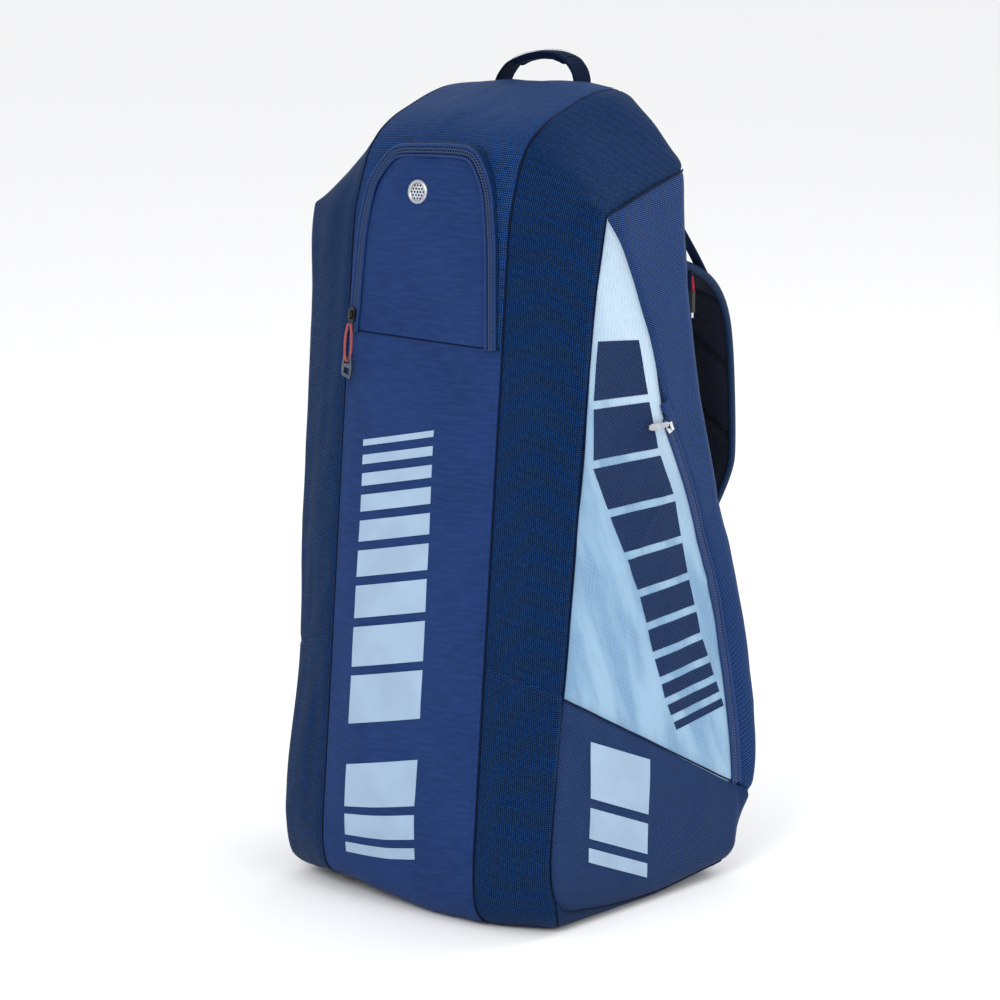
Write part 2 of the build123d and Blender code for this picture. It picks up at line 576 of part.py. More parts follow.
def strap():
    x_low = STRAP_X - STRAP_WIDTH / 2
    x_high = STRAP_X + STRAP_WIDTH / 2
    split = 4                # the point of the route where the pad is divided
    half = STRAP_PAD / 2
    upper = band(STRAP_ROUTE, half, -half, x_low, x_high, 0, split)
    end = box_between((0, -50, 0), (300, back_y(630.0) + 3.0, 900))
    save_pair("strap_pad_upper", upper - end)
    save_pair("strap_pad_lower", band(STRAP_ROUTE, half, -half, x_low, x_high, split))
    # Load lifter: webbing from the strap's top to the hinge line, with its buckle
    lifter = [(STRAP_HINGE[0] + 1.5, STRAP_HINGE[1] - 4.0), (84.0, 664.0), (118.0, 621.5)]
    web = band(lifter, 1.0, -1.0, STRAP_X - WEB_WIDTH / 2, STRAP_X + WEB_WIDTH / 2)
    save_pair("load_lifter", web)
    # Ladder lock at the lower end of the pad
    y, z = STRAP_ROUTE[-1]
    half_lock = WEB_WIDTH / 2 + 5.5
    half_slot = WEB_WIDTH / 2 + 0.5
    lock = box_between((STRAP_X - half_lock, y - 9, z - 30), (STRAP_X + half_lock, y - 2, z - 2))
    for drop in (9, 16, 23):
        low = (STRAP_X - half_slot, y - 20, z - drop - 2.6)
        high = (STRAP_X + half_slot, y + 8, z - drop + 1.4)
        lock -= box_between(low, high)
    save_pair("ladder_lock", lock)
    # Lower webbing on the bag, up to the ladder lock
    route = [(back_y(96.0) + 1.6, 96.0), (back_y(150.0) + 2.0, 150.0), (y - 1.0, z - 60.0),
             (y - 5.5, z - 32.0)]
    web = band(route, 1.0, -1.0, STRAP_X - WEB_WIDTH / 2, STRAP_X + WEB_WIDTH / 2)
    save("lower_webbing", Compound(children=[web, mirror(web, about=Plane.YZ)]))


def yoke():
    """Reinforced patch on the upper back that the straps and lifters are sewn to."""
    line = [(back_y(z) + 0.2, z) for z in (600.0, 697.0)] + [(back_y(697.0) + 0.2, 716.0)]
    save("strap_yoke", band(line, -0.0, -2.0, -BACK_HALF + 14, BACK_HALF - 14))


spine()
base()
back()
divider()
front_strips()
shoulder()
sides()
rear_strip()
accessory_pocket()
pocket_slider()
pull_cord()
side_sliders()
main_sliders()
handle()
strap()
yoke()
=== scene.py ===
import math

import bpy
import numpy as np
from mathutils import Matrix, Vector


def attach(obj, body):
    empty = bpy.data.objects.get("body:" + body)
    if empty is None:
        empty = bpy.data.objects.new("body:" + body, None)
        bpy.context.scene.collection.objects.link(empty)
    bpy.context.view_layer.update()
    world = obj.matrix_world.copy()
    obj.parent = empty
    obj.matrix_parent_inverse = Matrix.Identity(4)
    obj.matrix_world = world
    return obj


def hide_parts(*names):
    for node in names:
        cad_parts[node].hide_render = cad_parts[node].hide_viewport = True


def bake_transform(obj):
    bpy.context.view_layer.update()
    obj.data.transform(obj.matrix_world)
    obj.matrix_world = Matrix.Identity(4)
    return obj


# Racket tournament bag. Lengths here are millimetres; new_object turns them into metres.
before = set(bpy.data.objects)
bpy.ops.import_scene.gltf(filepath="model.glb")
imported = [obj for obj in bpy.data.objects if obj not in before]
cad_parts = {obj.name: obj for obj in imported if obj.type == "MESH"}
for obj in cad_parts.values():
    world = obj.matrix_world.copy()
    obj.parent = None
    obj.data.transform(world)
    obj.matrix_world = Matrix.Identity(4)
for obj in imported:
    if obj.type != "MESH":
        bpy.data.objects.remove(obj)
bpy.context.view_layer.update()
MM = 0.001
SIDES = (("right", 1.0), ("left", -1.0))

# The bag's shape, as in the CAD frame
RIDGE_Z = 768.0
SEAM_X = 97.6            # seam between the middle band and the covers
BAND_HALF = 95.0         # middle band inside its piping
BACK_X = 148.0           # seam between the covers and the back panel
BOTTOM_ROUND = 24.0      # radius of the rounded bottom edge
POCKET_LOW_Z = 541.0
STRIP_SEAM_Z = 251.0
FRONT_ROUND = 8.0        # rounding of the front corner, on the side's face
REAR_ROUND = 18.0        # radius of the rear corner
WALL = 3.2               # thickness of a sewn panel
# The side zip: an arc on the side's face, as (depth, height), with its centre far in front of the bag
ZIP_TOP, ZIP_LOW = (19.5, 470.0), (142.0, 92.0)
ZIP_CENTRE = (-755.784, 9.901)
ZIP_RADIUS = 901.53
ZIP_HALF = 5.2
APEX = (-68.5, 666.0)    # top of the light panel
# From the zip's top towards the apex
ZIP_TAIL = [(4.5, 524.0), (-7.5, 557.0), (-26.0, 598.0), (-48.0, 639.0)]
LIGHT_LOW_Z = 226.0      # front end of the light panel's lower seam
LEAN_Z = 592.0           # above it the side's front seam leans back to the apex
LOW_REAR_Z = 70.0        # rear end of the seam between the lower and the rear panel
REAR_TOP_Z = 697.0       # rear end of the shoulder's seam
# Places where cloth that crosses a hinge would turn from the root's motion to the moving body's, in metres;
# only their presence is read, and such cloth is baked in place and put on no body
COVER_TURN = ((0, 0.168, 0), (0, 0.128, 0))
HEM_TURN = ((0, 0.160, 0), (0, 0.125, 0))
FLAP_TURN = ((0, -0.1235, 0.5425), (0, -0.1235, 0.553))
STRAP_TURN = ((0, 0.056, 0.0), (0, 0.092, 0.0))
WEB_TURN = ((0, 0.14, 0.13), (0, 0.15, 0.300))
HANDLE_TURN = ((0, 0.050, 0.766), (0, 0.050, 0.781))

# ------------------------------------------------------------------ numbers and curves


def smooth_rows(keys, rows, sigma=0.0, step=2.0):
    """Rows given at growing keys, filled in every step and rounded off over sigma; returns f(key)."""
    count = int(round((keys[-1] - keys[0]) / step)) + 1
    dense = np.linspace(keys[0], keys[-1], count)
    columns = [np.interp(dense, keys, c) for c in np.array(rows, float).T]
    half = int(3 * sigma / step)
    if half:
        kernel = np.exp(-0.5 * (np.arange(-half, half + 1) * step / sigma) ** 2)
        kernel /= kernel.sum()
        columns = [np.convolve(np.pad(c, half, mode="reflect", reflect_type="odd"), kernel, mode="valid")
                   for c in columns]
    return lambda key: np.stack([np.interp(key, dense, c) for c in columns], axis=-1)


def lengths(points):
    """Distance along a line of points, from its first."""
    steps = np.linalg.norm(np.diff(points, axis=0), axis=-1)
    return np.concatenate([np.zeros((1,) + steps.shape[1:]), np.cumsum(steps, axis=0)])


def resample(points, step, sigma=0.0):
    """The line through points again, with equal steps and corners rounded over sigma."""
    points = np.array(points, float)
    curve = smooth_rows(lengths(points), points, sigma, min(step, 1.5))
    total = lengths(points)[-1]
    return curve(np.linspace(0, total, max(2, int(round(total / step)) + 1)))


def picked(line, count):
    """Count points of a line, evenly spread over its own points."""
    return line[np.linspace(0, len(line) - 1, count).astype(int)]


def unit(v):
    return v / np.maximum(np.linalg.norm(v, axis=-1, keepdims=True), 1e-9)


def noise(a, b, seed):
    """Smooth noise from -1 to 1 over the plane, one cell per unit."""
    grid = np.random.default_rng(seed).uniform(-1, 1, (64, 64))
    i, j = np.floor(a).astype(int), np.floor(b).astype(int)
    p, q = a - i, b - j
    p, q = p * p * (3 - 2 * p), q * q * (3 - 2 * q)
    value = 0
    for di, wi in ((0, 1 - p), (1, p)):
        for dj, wj in ((0, 1 - q), (1, q)):
            value = value + wi * wj * grid[(i + di) % 64, (j + dj) % 64]
    return value


def turned(a, b, degrees, across, along):
    """Plane coordinates turned by degrees and divided by a cell's size across and along."""
    c, s = math.cos(math.radians(degrees)), math.sin(math.radians(degrees))
    return (a * c + b * s) / across, (b * c - a * s) / along


def folds(a, b, degrees, across, along, seed):
    """Soft folds that run in one direction, from -1 to 1."""
    p, q = turned(a, b, degrees, across, along)
    return 0.7 * noise(p, q, seed) + 0.3 * noise(2.1 * p, 2.1 * q, seed + 1)


def creases(a, b, degrees, across, along, seed, sharp=6.0):
    """Narrow pressed ridges in one direction, from 0 to 1."""
    p, q = turned(a, b, degrees, across, along)
    gate = np.clip(0.5 + noise(0.7 * p + 5, 0.7 * q, seed + 3), 0, 1)
    return gate * np.exp(-np.abs(noise(p, q, seed)) * sharp)


def front_y(z):
    return -166.0 + 0.0856 * z


def side_x(z):
    return 168.1 + 0.015 * z


def bottom_inset(z):
    """How far the wall has turned in at height z, near the floor."""
    rest = np.clip((BOTTOM_ROUND - np.asarray(z, float)) / BOTTOM_ROUND, 0, 1)
    return BOTTOM_ROUND * (1 - np.sqrt(1 - np.minimum(rest, 0.999) ** 2))


def depth_of(heights, depths, sigma):
    """Depth as a smooth function of height."""
    curve = smooth_rows(heights, np.array(depths, float)[:, None], sigma)
    return lambda z: curve(z)[..., 0]


side_front = depth_of([0, 21.5, 60, 592, 664, 760], [-127, -131, -143.5, -90.8, -75, -54], 10)
side_rear = depth_of([0, 21.5, 86, 316, 460, 580, 697, 760], [147, 150, 157, 134, 87, 57, 48, 48], 24)

# Profile of the middle band: up the front, over the top and just down the back, as (depth, height)
PROFILE = np.array([(-112.0, 0.4), (-138.0, 0.8), (-149.0, 5.0), (-155.5, 13.0), (-159.5, 24.0),
                    (-161.0, 40.0), (front_y(66.0), 66.0), (front_y(541.0), 541.0), (front_y(661.0), 661.0),
                    (-98.0, 699.0), (-92.0, 716.0), (-78.0, 733.0), (-56.0, 746.0), (-10.0, 762.0),
                    (15.0, RIDGE_Z), (44.0, RIDGE_Z), (50.0, 766.0), (53.5, 760.0), (54.0, 752.0)])
profile_keys = lengths(PROFILE)
profile_at = smooth_rows(profile_keys, PROFILE, 7.0)
PROFILE_END = profile_keys[-1]


def profile_key(z):
    """Distance along the profile of the point at height z on its front."""
    keys = np.linspace(profile_keys[1], profile_keys[12], 600)
    return np.interp(z, profile_at(keys)[:, 1], keys)


KEY_POCKET = profile_key(POCKET_LOW_Z)
KEY_CAP = profile_key(716.0)


def front_surface(x, key):
    """Outer face of the middle band, with its crown and soft folds."""
    yz = profile_at(key)
    across = np.clip(x / SEAM_X, -1, 1)
    crown = 3.2 * (1 - across ** 4) * np.clip(key / 120.0, 0, 1)
    soft = 1.5 * folds(x, key, 4, 34, 210, 11) + 1.1 * folds(x, key, -28, 26, 90, 17)
    crown = crown + (1 - across ** 4) * soft
    low = np.clip(1 - key / 260.0, 0, 1)
    crown = crown + 2.6 * low * (1 - across ** 2) * creases(x, key, -38, 42, 130, 23, 5.0)
    tangent = unit(profile_at(key + 1.0) - profile_at(key - 1.0))
    y = yz[..., 0] - tangent[..., 1] * crown
    z = yz[..., 1] + tangent[..., 0] * crown
    return np.stack([x + 0 * y, y, z], axis=-1)


def rear_corner(z):
    """Tangent length, turn and last straight length of the rounded rear corner at height z."""
    dx = BACK_X - (side_x(z) - bottom_inset(z))
    dy = 6.0
    turn = np.arctan2(-dx, dy)
    run = REAR_ROUND * np.tan(turn / 2)
    return run, turn, np.maximum(np.hypot(dx, dy) - run, 0.5)


def rear_edge(z):
    """Unrolled distance from y = 0 to the seam of the back panel, at height z."""
    run, turn, rest = rear_corner(z)
    return side_rear(z) - bottom_inset(z) - run + REAR_ROUND * turn + rest


def side_surface(t, z, seed=0):
    """Outer face of the right side at unrolled depth t and height z, round the rear corner too."""
    t, z = np.broadcast_arrays(np.asarray(t, float), np.asarray(z, float))
    run, turn, _ = rear_corner(z)
    start = side_rear(z) - bottom_inset(z) - run
    bend = np.clip((t - start) / REAR_ROUND, 0, turn)
    tail = np.maximum(t - start - REAR_ROUND * turn, 0)
    x = side_x(z) - bottom_inset(z) - REAR_ROUND * (1 - np.cos(bend)) - tail * np.sin(turn)
    y = np.minimum(t, start) + REAR_ROUND * np.sin(bend) + tail * np.cos(turn)
    front = side_front(z) + bottom_inset(z)
    middle = np.clip((t - front) / np.maximum(start - front, 1), 0, 1)
    puff = 16 * (middle * (1 - middle)) ** 2 * np.clip(z / 150, 0, 1)
    soft = 1.3 * folds(t, z, 12, 40, 190, 31 + seed) + 1.2 * folds(t, z, -35, 34, 100, 37 + seed)
    puff = puff + soft * np.clip((z - 20) / 60, 0, 1)
    light = np.clip((560 - z) / 300, 0, 1) * np.clip((z - 120) / 120, 0, 1) * np.clip(middle * 8, 0, 1)
    pressed = 2.8 * creases(t, z, -36, 48, 150, 41 + seed) - 2.0 * creases(t, z, 52, 60, 110, 47 + seed)
    puff = puff + light * pressed
    outward = np.stack([np.cos(bend), np.sin(bend), 0 * x], axis=-1)
    return np.stack([x, y, z], axis=-1) + outward * puff[..., None]


def normals(points):
    """Unit normals of a grid of points."""
    return unit(np.cross(np.gradient(points, axis=1), np.gradient(points, axis=0)))


def surface_normal(surface, a, b):
    da = surface(a + 0.6, b) - surface(a - 0.6, b)
    db = surface(a, b + 0.6) - surface(a, b - 0.6)
    return unit(np.cross(da, db))


def step(value, low, high):
    """0 below low, 1 above high, smooth between."""
    share = np.clip((value - low) / (high - low), 0, 1)
    return share * share * (3 - 2 * share)


def sag(points):
    """The uneven stand of a filled soft bag, as small shifts of its points that fade out smoothly."""
    x, y, z = points.T
    moved = points.copy()
    zip_depth = ZIP_CENTRE[0] + np.sqrt(ZIP_RADIUS ** 2 - (np.clip(z, 60, 480) - ZIP_CENTRE[1]) ** 2)
    # the right side bulges behind its zip
    bulge = step(x, 110, 168) * step(y - zip_depth, 3, 26) * step(z, 10, 120) * step(-z, -370, -170)
    moved[:, 0] += 11.0 * bulge
    moved[:, 1] += 11.0 * bulge
    # the middle band is crowned below the pocket
    crown = np.clip(1 - (x / 97.0) ** 2, 0, 1) * step(-y, 80, 112) * step(z, 10, 110) * step(-z, -548, -450)
    moved[:, 1] -= 6.0 * crown
    # the left front corner is pressed in higher up, and the right one bulges at its foot
    press = step(-x, 90, 165) * step(-y, 45, 110) * step(z, 90, 220) * step(-z, -680, -560)
    moved[:, 0] += 9.0 * press
    low_bulge = step(x, 110, 160) * step(y - zip_depth, 3, 15) * step(z, 20, 90) * step(-z, -250, -120)
    moved[:, 0] += 7.0 * low_bulge
    moved[:, 1] += 5.0 * low_bulge
    moved[:, 0] += 5.0 * step(-x, 110, 168) * step(-y, 40, 120) * step(z, 15, 80) * step(-z, -350, -240)
    # the left shoulder hangs
    corner = np.clip((-x - 98) / 66.0, 0, 1.1) * step(z, 560, 700)
    moved[:, 2] -= 20.0 * corner
    moved[:, 0] -= 5.0 * corner
    # the hem lifts at the front left and at the rear right
    lift = np.exp(-((x + 78) / 58.0) ** 2) * step(-y, 10, 120) * step(-z, -130, -10)
    rear_lift = step(x, 60, 168) * step(y, 20, 150) * step(-z, -110, -8)
    moved[:, 2] += 13.0 * lift + 9.0 * rear_lift
    # the top leans to the left
    drop = step(-x, -40, 110) * step(z, 610, 735)
    moved[:, 2] -= 8.0 * drop
    moved[:, 0] += 6.0 * drop * step(-x, 40, 150)
    moved[:, 2] = np.maximum(moved[:, 2], 0.0)
    return moved


# ------------------------------------------------------------------ meshes


def new_object(name, verts, faces, materials, face_slots=None, uvs=None, seam=None, angle=42.0):
    """A mesh object from millimetre points; uvs are per vertex, in millimetres."""
    mesh = bpy.data.meshes.new(name)
    verts = sag(np.asarray(verts, float))
    mesh.from_pydata((verts * MM).tolist(), [], [list(map(int, f)) for f in faces])
    for material in materials:
        mesh.materials.append(material)
    if face_slots is not None:
        mesh.polygons.foreach_set("material_index", np.asarray(face_slots, np.int32))
    mesh.polygons.foreach_set("use_smooth", np.ones(len(faces), bool))
    if uvs is not None:
        layer = mesh.uv_layers.new(name="UVMap")
        loops = np.zeros(len(mesh.loops), np.int32)
        mesh.loops.foreach_get("vertex_index", loops)
        layer.data.foreach_set("uv", (np.asarray(uvs)[loops] * MM).astype(np.float32).ravel())
    if seam is not None:
        mesh.attributes.new("seam", "FLOAT", "POINT").data.foreach_set("value", np.asarray(seam, np.float32))
    mesh.validate()
    mesh.set_sharp_from_angle(angle=math.radians(angle))
    mesh.update()
    piece = bpy.data.objects.new(name, mesh)
    bpy.context.scene.collection.objects.link(piece)
    return piece


def grid_faces(rows, cols, start=0, flip=False, wrap=False):
    """Quads of a grid of points; wrap joins its last column to its first."""
    i, j = np.meshgrid(np.arange(rows - 1), np.arange(cols if wrap else cols - 1), indexing="ij")
    i, j = i.ravel(), j.ravel()
    k = (j + 1) % cols
    quads = np.stack([i * cols + j, i * cols + k, (i + 1) * cols + k, (i + 1) * cols + j], axis=1) + start
    return quads[:, ::-1] if flip else quads


def edge_ring(rows, cols):
    """Places of a grid's edge points in its flat list, once round."""
    last_row = (rows - 1) * cols + np.arange(cols - 2, -1, -1)
    return np.concatenate([np.arange(cols), np.arange(1, rows) * cols + cols - 1, last_row,
                           np.arange(rows - 2, 0, -1) * cols])


def tube_faces(rows, count, closed=False):
    """Faces of a tube of rows with count points each, with flat ends or joined end to end."""
    faces = grid_faces(rows, count, wrap=True).tolist()
    last = (rows - 1) * count
    if closed:
        return faces + [[last + j, last + (j + 1) % count, (j + 1) % count, j] for j in range(count)]
    return faces + [list(range(count))[::-1], [last + j for j in range(count)]]


def panel(name, points, materials, thick=WALL, roll=(1, 1, 1, 1), depth=1.3, relief=None, flip=False,
          lined_edge=False):
    """A sewn panel: a closed thin shell whose outer face follows a grid of points.

    roll says how strongly each edge (first row, last row, first column, last column) turns in at its seam.
    lined_edge gives the narrow faces round the edge the lining's material."""
    rows, cols = points.shape[:2]
    u = lengths(points.transpose(1, 0, 2)).T
    v = lengths(points)
    edges = [v, v[-1:] - v, u, u[:, -1:] - u]
    seam = sum(r * np.exp(-(e / 4.0) ** 2) for r, e in zip(roll, edges))
    out = normals(points) * (-1 if flip else 1)
    height = -depth * np.minimum(seam, 1.6)
    if relief is not None:
        calm = np.prod([1 - min(r, 1) * np.exp(-(e / 12.0) ** 2) for r, e in zip(roll, edges)], axis=0)
        height = height + relief(u, v) * calm
    outer = points + out * height[..., None]
    inner = outer - out * thick
    verts = np.concatenate([outer.reshape(-1, 3), inner.reshape(-1, 3)])
    n = rows * cols
    ring = edge_ring(rows, cols)
    after = np.roll(ring, -1)
    rim = np.stack([after, ring, ring + n, after + n], axis=1)
    faces = np.concatenate([grid_faces(rows, cols), grid_faces(rows, cols, n, flip=True), rim])
    if flip:
        faces = faces[:, ::-1]
    quads = (rows - 1) * (cols - 1)
    slots = np.zeros(len(faces), int)
    slots[quads:len(faces) if lined_edge else 2 * quads] = len(materials) - 1
    uv = np.stack([u, v], axis=-1).reshape(-1, 2)
    mark = np.exp(-np.min(np.stack(edges), axis=0) / 5.0).ravel()
    return new_object(name, verts, faces, materials, slots, np.tile(uv, (2, 1)), np.tile(mark, 2))


def mirrored(points, sign):
    return points * np.array([sign, 1, 1])


def region(left, right, cols):
    """Grid of plane points between two edge lines of (t, z) with as many points each."""
    share = np.linspace(0, 1, cols)[None, :, None]
    return left[:, None, :] * (1 - share) + right[:, None, :] * share


def frames_along(path, ups):
    """Unit direction, side and up at each point of a path."""
    along = unit(np.gradient(path, axis=0))
    side = unit(np.cross(along, ups))
    return along, side, unit(np.cross(side, along))


def sweep(name, path, ups, section, material, wide=1.0, angle=42.0):
    """Carries a closed section of (side, up) points along a path; wide scales it sideways."""
    path = np.asarray(path, float)
    _, side, up = frames_along(path, np.broadcast_to(np.asarray(ups, float), path.shape))
    section = np.asarray(section, float)
    scale = np.broadcast_to(wide, len(path))
    verts = (path[:, None] + side[:, None] * section[None, :, :1] * scale[:, None, None]
             + up[:, None] * section[None, :, 1:])
    count = len(section)
    along = np.repeat(lengths(path), count)
    around = np.tile(lengths(np.vstack([section, section[:1]]))[:count], len(path))
    uv = np.stack([around, along], axis=1)
    faces = tube_faces(len(path), count)
    return new_object(name, verts.reshape(-1, 3), faces, [material], uvs=uv, angle=angle)


def oval(wide, high, count=12):
    angles = np.linspace(0, 2 * math.pi, count, endpoint=False)
    return np.stack([wide / 2 * np.cos(angles), high / 2 * np.sin(angles)], axis=1)


def strip_section(wide, thick, crown=0.0):
    """Flat webbing section with rounded edges."""
    half, h = wide / 2, thick / 2
    xs = np.array([-half, -half + h, -half * 0.5, 0, half * 0.5, half - h, half])
    top = [(x, h + crown * (1 - (x / half) ** 2) if abs(x) < half else 0) for x in xs]
    low = [(x, -h) for x in xs[1:-1][::-1]]
    return np.array(top + low)[::-1]


def scatter(name, places, along, side, up, base, faces, material):
    """One small shape repeated at many places, joined into one mesh."""
    base = np.asarray(base, float)
    verts = (places[:, None] + side[:, None] * base[None, :, :1] + along[:, None] * base[None, :, 1:2]
             + up[:, None] * base[None, :, 2:])
    count = len(base)
    many = [[k * count + i for i in f] for k in range(len(places)) for f in faces]
    uv = np.tile(base[:, :2], (len(places), 1))
    return new_object(name, verts.reshape(-1, 3), many, [material], uvs=uv, angle=50)


BEAD_FACES = [(0, 2, 4), (2, 1, 4), (1, 3, 4), (3, 0, 4), (2, 0, 5), (1, 2, 5), (3, 1, 5), (0, 3, 5)]
TOOTH_FACES = [(0, 3, 2, 1), (4, 5, 6, 7), (1, 2, 6, 5), (2, 3, 7, 6), (0, 1, 5, 4), (3, 0, 4, 7)]


def spread(ups, count):
    """Directions given along a line, or one for all of it, at count even places."""
    ups = np.atleast_2d(np.asarray(ups, float))
    keys = np.linspace(0, 1, len(ups))
    return np.stack([np.interp(np.linspace(0, 1, count), keys, column) for column in ups.T], axis=1)


def stitches(name, path, ups, body, pitch=3.4, lift=0.15):
    """A row of sewn stitches lying on a path."""
    line = resample(path, pitch)
    along, side, up = frames_along(line, spread(ups, len(line)))
    long, r = pitch * 0.36, 0.42
    base = [(0, -long, 0), (0, long, 0), (-r, 0, 0), (r, 0, 0), (0, 0, r), (0, 0, -r)]
    piece = scatter(name, line + up * lift, along, side, up, base, BEAD_FACES, M["thread"])
    finish_piece(piece, body)


def teeth(name, path, ups, body, pitch, wide):
    """Two rows of nylon coil that mesh along a path."""
    line = resample(path, pitch / 2)
    along, side, up = frames_along(line, spread(ups, len(line)))
    shift = np.where(np.arange(len(line)) % 2 == 0, 1.0, -1.0)[:, None]
    a, b, c = wide * 0.5, pitch * 0.28, 0.75
    half = [(-a, b, 0), (-a * 0.9, b * 0.6, c), (a * 0.75, b * 0.6, c), (a, b * 0.7, c * 0.3)]
    base = [(x, -y, z) for x, y, z in half] + half
    places = line + side * shift * wide * 0.32 + up * 0.5
    piece = scatter(name, places, along, side * shift, up, base, TOOTH_FACES, M["coil"])
    finish_piece(piece, body)


def finish_piece(piece, body, nodes=(), turn=None):
    """Hides the CAD nodes that a piece stands for and puts the piece on its body; with turn it is only baked
    in place and put on no body.

    turn is only tested for being given; the places in it are not used."""
    if nodes:
        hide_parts(*nodes)
    if turn:
        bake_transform(piece)
    else:
        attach(piece, body)
    return piece


def cloth(name, points, material, body, slot, nodes=(), fill=None, turn=None, backing="lining", **form):
    """A sewn panel with its backing, finished."""
    materials = [M[material], M[backing]] if backing else [M[material]]
    return finish_piece(panel(name, points, materials, **form), body, nodes, turn)


def ribbon(name, path, ups, section, material, body, slot, nodes=(), fill=None, turn=None, **form):
    """A swept cord, tape or webbing, finished."""
    return finish_piece(sweep(name, path, ups, section, M[material], **form), body, nodes, turn)


# ------------------------------------------------------------------ materials


class Shader:
    """A node material with a few shorthands; plain numbers are set on the shader's own sockets."""

    def __init__(self, name, roughness=0.7, metallic=0.0, sheen=0.0, coat=0.0, specular=0.5, tint=None):
        self.material = bpy.data.materials.new(name)
        self.material.use_nodes = True
        self.tree = self.material.node_tree
        self.bsdf = self.tree.nodes["Principled BSDF"]
        for socket, value in (
                ("Roughness", roughness), ("Metallic", metallic), ("Sheen Weight", sheen),
                ("Sheen Roughness", 0.45), ("Coat Weight", coat), ("Specular IOR Level", specular)):
            self.bsdf.inputs[socket].default_value = value
        if tint:
            self.bsdf.inputs["Sheen Tint"].default_value = (*tint, 1.0)
            self.bsdf.inputs["Specular Tint"].default_value = (*tint, 1.0)
        self.uv = self.add("ShaderNodeTexCoord").outputs["UV"]
        split = self.add("ShaderNodeSeparateXYZ", self.uv)
        self.u, self.v = split.outputs["X"], split.outputs["Y"]

    def add(self, kind, *inputs, **settings):
        node = self.tree.nodes.new(kind)
        for key, value in settings.items():
            setattr(node, key, value)
        for i, value in enumerate(inputs):
            self.feed(node.inputs[i], value)
        return node

    def feed(self, socket, value):
        if isinstance(value, bpy.types.NodeSocket):
            self.tree.links.new(value, socket)
        elif value is not None:
            socket.default_value = value

    def math(self, operation, a, b=None, c=None):
        return self.add("ShaderNodeMath", a, b, c, operation=operation).outputs[0]

    def times(self, a, b):
        return self.math("MULTIPLY", a, b)

    def scaled(self, value, factor, offset):
        """value * factor + offset"""
        return self.math("MULTIPLY_ADD", value, factor, offset)

    def sine(self, value, pitch_mm):
        """A wave from -1 to 1 along value, which is in metres, with its pitch in millimetres."""
        return self.math("SINE", self.scaled(value, 2 * math.pi / (pitch_mm * MM), 0.0))

    def noise(self, place, scale, detail=2.0):
        """Noise from 0 to 1; with no place it follows the object's generated coordinates."""
        node = self.add("ShaderNodeTexNoise", place)
        node.inputs["Scale"].default_value = scale
        node.inputs["Detail"].default_value = detail
        return node.outputs["Fac"]

    def stretched(self, place, across, along):
        return self.add("ShaderNodeVectorMath", place, (across, along, 1.0), operation="MULTIPLY").outputs[0]

    def cloud(self, size_mm, stretch=(1.0, 1.0), detail=2.0):
        """Noise with spots of about size_mm, in the cloth's own coordinates."""
        return self.noise(self.stretched(self.uv, *stretch), 1000.0 / size_mm, detail)

    def seam(self):
        return self.add("ShaderNodeAttribute", attribute_name="seam").outputs["Fac"]

    def mix(self, factor, a, b):
        """Mixes two colours, given as sockets or as (r, g, b)."""
        node = self.tree.nodes.new("ShaderNodeMix")
        node.data_type = "RGBA"
        self.feed(node.inputs[0], factor)
        for socket, value in ((node.inputs[6], a), (node.inputs[7], b)):
            self.feed(socket, (*value, 1.0) if isinstance(value, tuple) else value)
        return node.outputs[2]

    def ramp(self, value, low, high):
        """0 at low, 1 at high, smooth between."""
        node = self.add("ShaderNodeMapRange", value, interpolation_type="SMOOTHSTEP")
        node.inputs["From Min"].default_value = low
        node.inputs["From Max"].default_value = high
        return node.outputs[0]

    def tone(self, colour, value, low, high, other):
        """Turns colour into another one as value goes from low to high."""
        return self.mix(self.ramp(value, low, high), colour, other)

    def done(self, colour, height=None, depth_mm=0.3, roughness=None):
        """Sets the colour, a bump of depth_mm and, where given, uneven roughness; returns the material."""
        self.feed(self.bsdf.inputs["Base Color"], (*colour, 1.0) if isinstance(colour, tuple) else colour)
        self.feed(self.bsdf.inputs["Roughness"], roughness)
        if height is not None:
            bump = self.tree.nodes.new("ShaderNodeBump")
            bump.inputs["Strength"].default_value = 1.0
            bump.inputs["Distance"].default_value = depth_mm * MM
            self.feed(bump.inputs["Height"], height)
            self.tree.links.new(bump.outputs["Normal"], self.bsdf.inputs["Normal"])
        return self.material


def shade(colour, factor):
    return tuple(c * factor for c in colour)


BLUE_TINT = (0.12, 0.40, 1.0)
SOFT_TINT = (0.25, 0.42, 1.0)


def worn(s, base, seam_light=1.25):
    """Uneven dye over large spots, and rubbed lighter threads on the edges of a panel."""
    spots = s.tone(shade(base, 0.88), s.cloud(90), 0.3, 0.7, shade(base, 1.12))
    rubbed = s.times(s.seam(), s.ramp(s.cloud(7), 0.42, 0.7))
    return s.mix(s.times(rubbed, 0.6), spots, shade(base, seam_light + 0.35))


def plain_weave(name, base, pitch=1.3, slub=0.5, sheen=0.05, roughness=0.66):
    """Fine plain weave whose cross threads vary in thickness."""
    s = Shader(name, roughness, sheen=sheen, specular=0.2, tint=BLUE_TINT)
    cross = s.times(s.sine(s.u, pitch), s.sine(s.v, pitch))
    slubs = s.ramp(s.cloud(3.2, (0.16, 1.0), 3.0), 0.35, 0.7)
    colour = s.mix(s.times(slubs, 0.42), worn(s, base), shade(base, 1.75))
    colour = s.tone(colour, cross, 0.0, -1.0, shade(base, 0.62))
    return s.done(colour, s.scaled(slubs, slub, s.times(cross, 0.5)), 0.32)


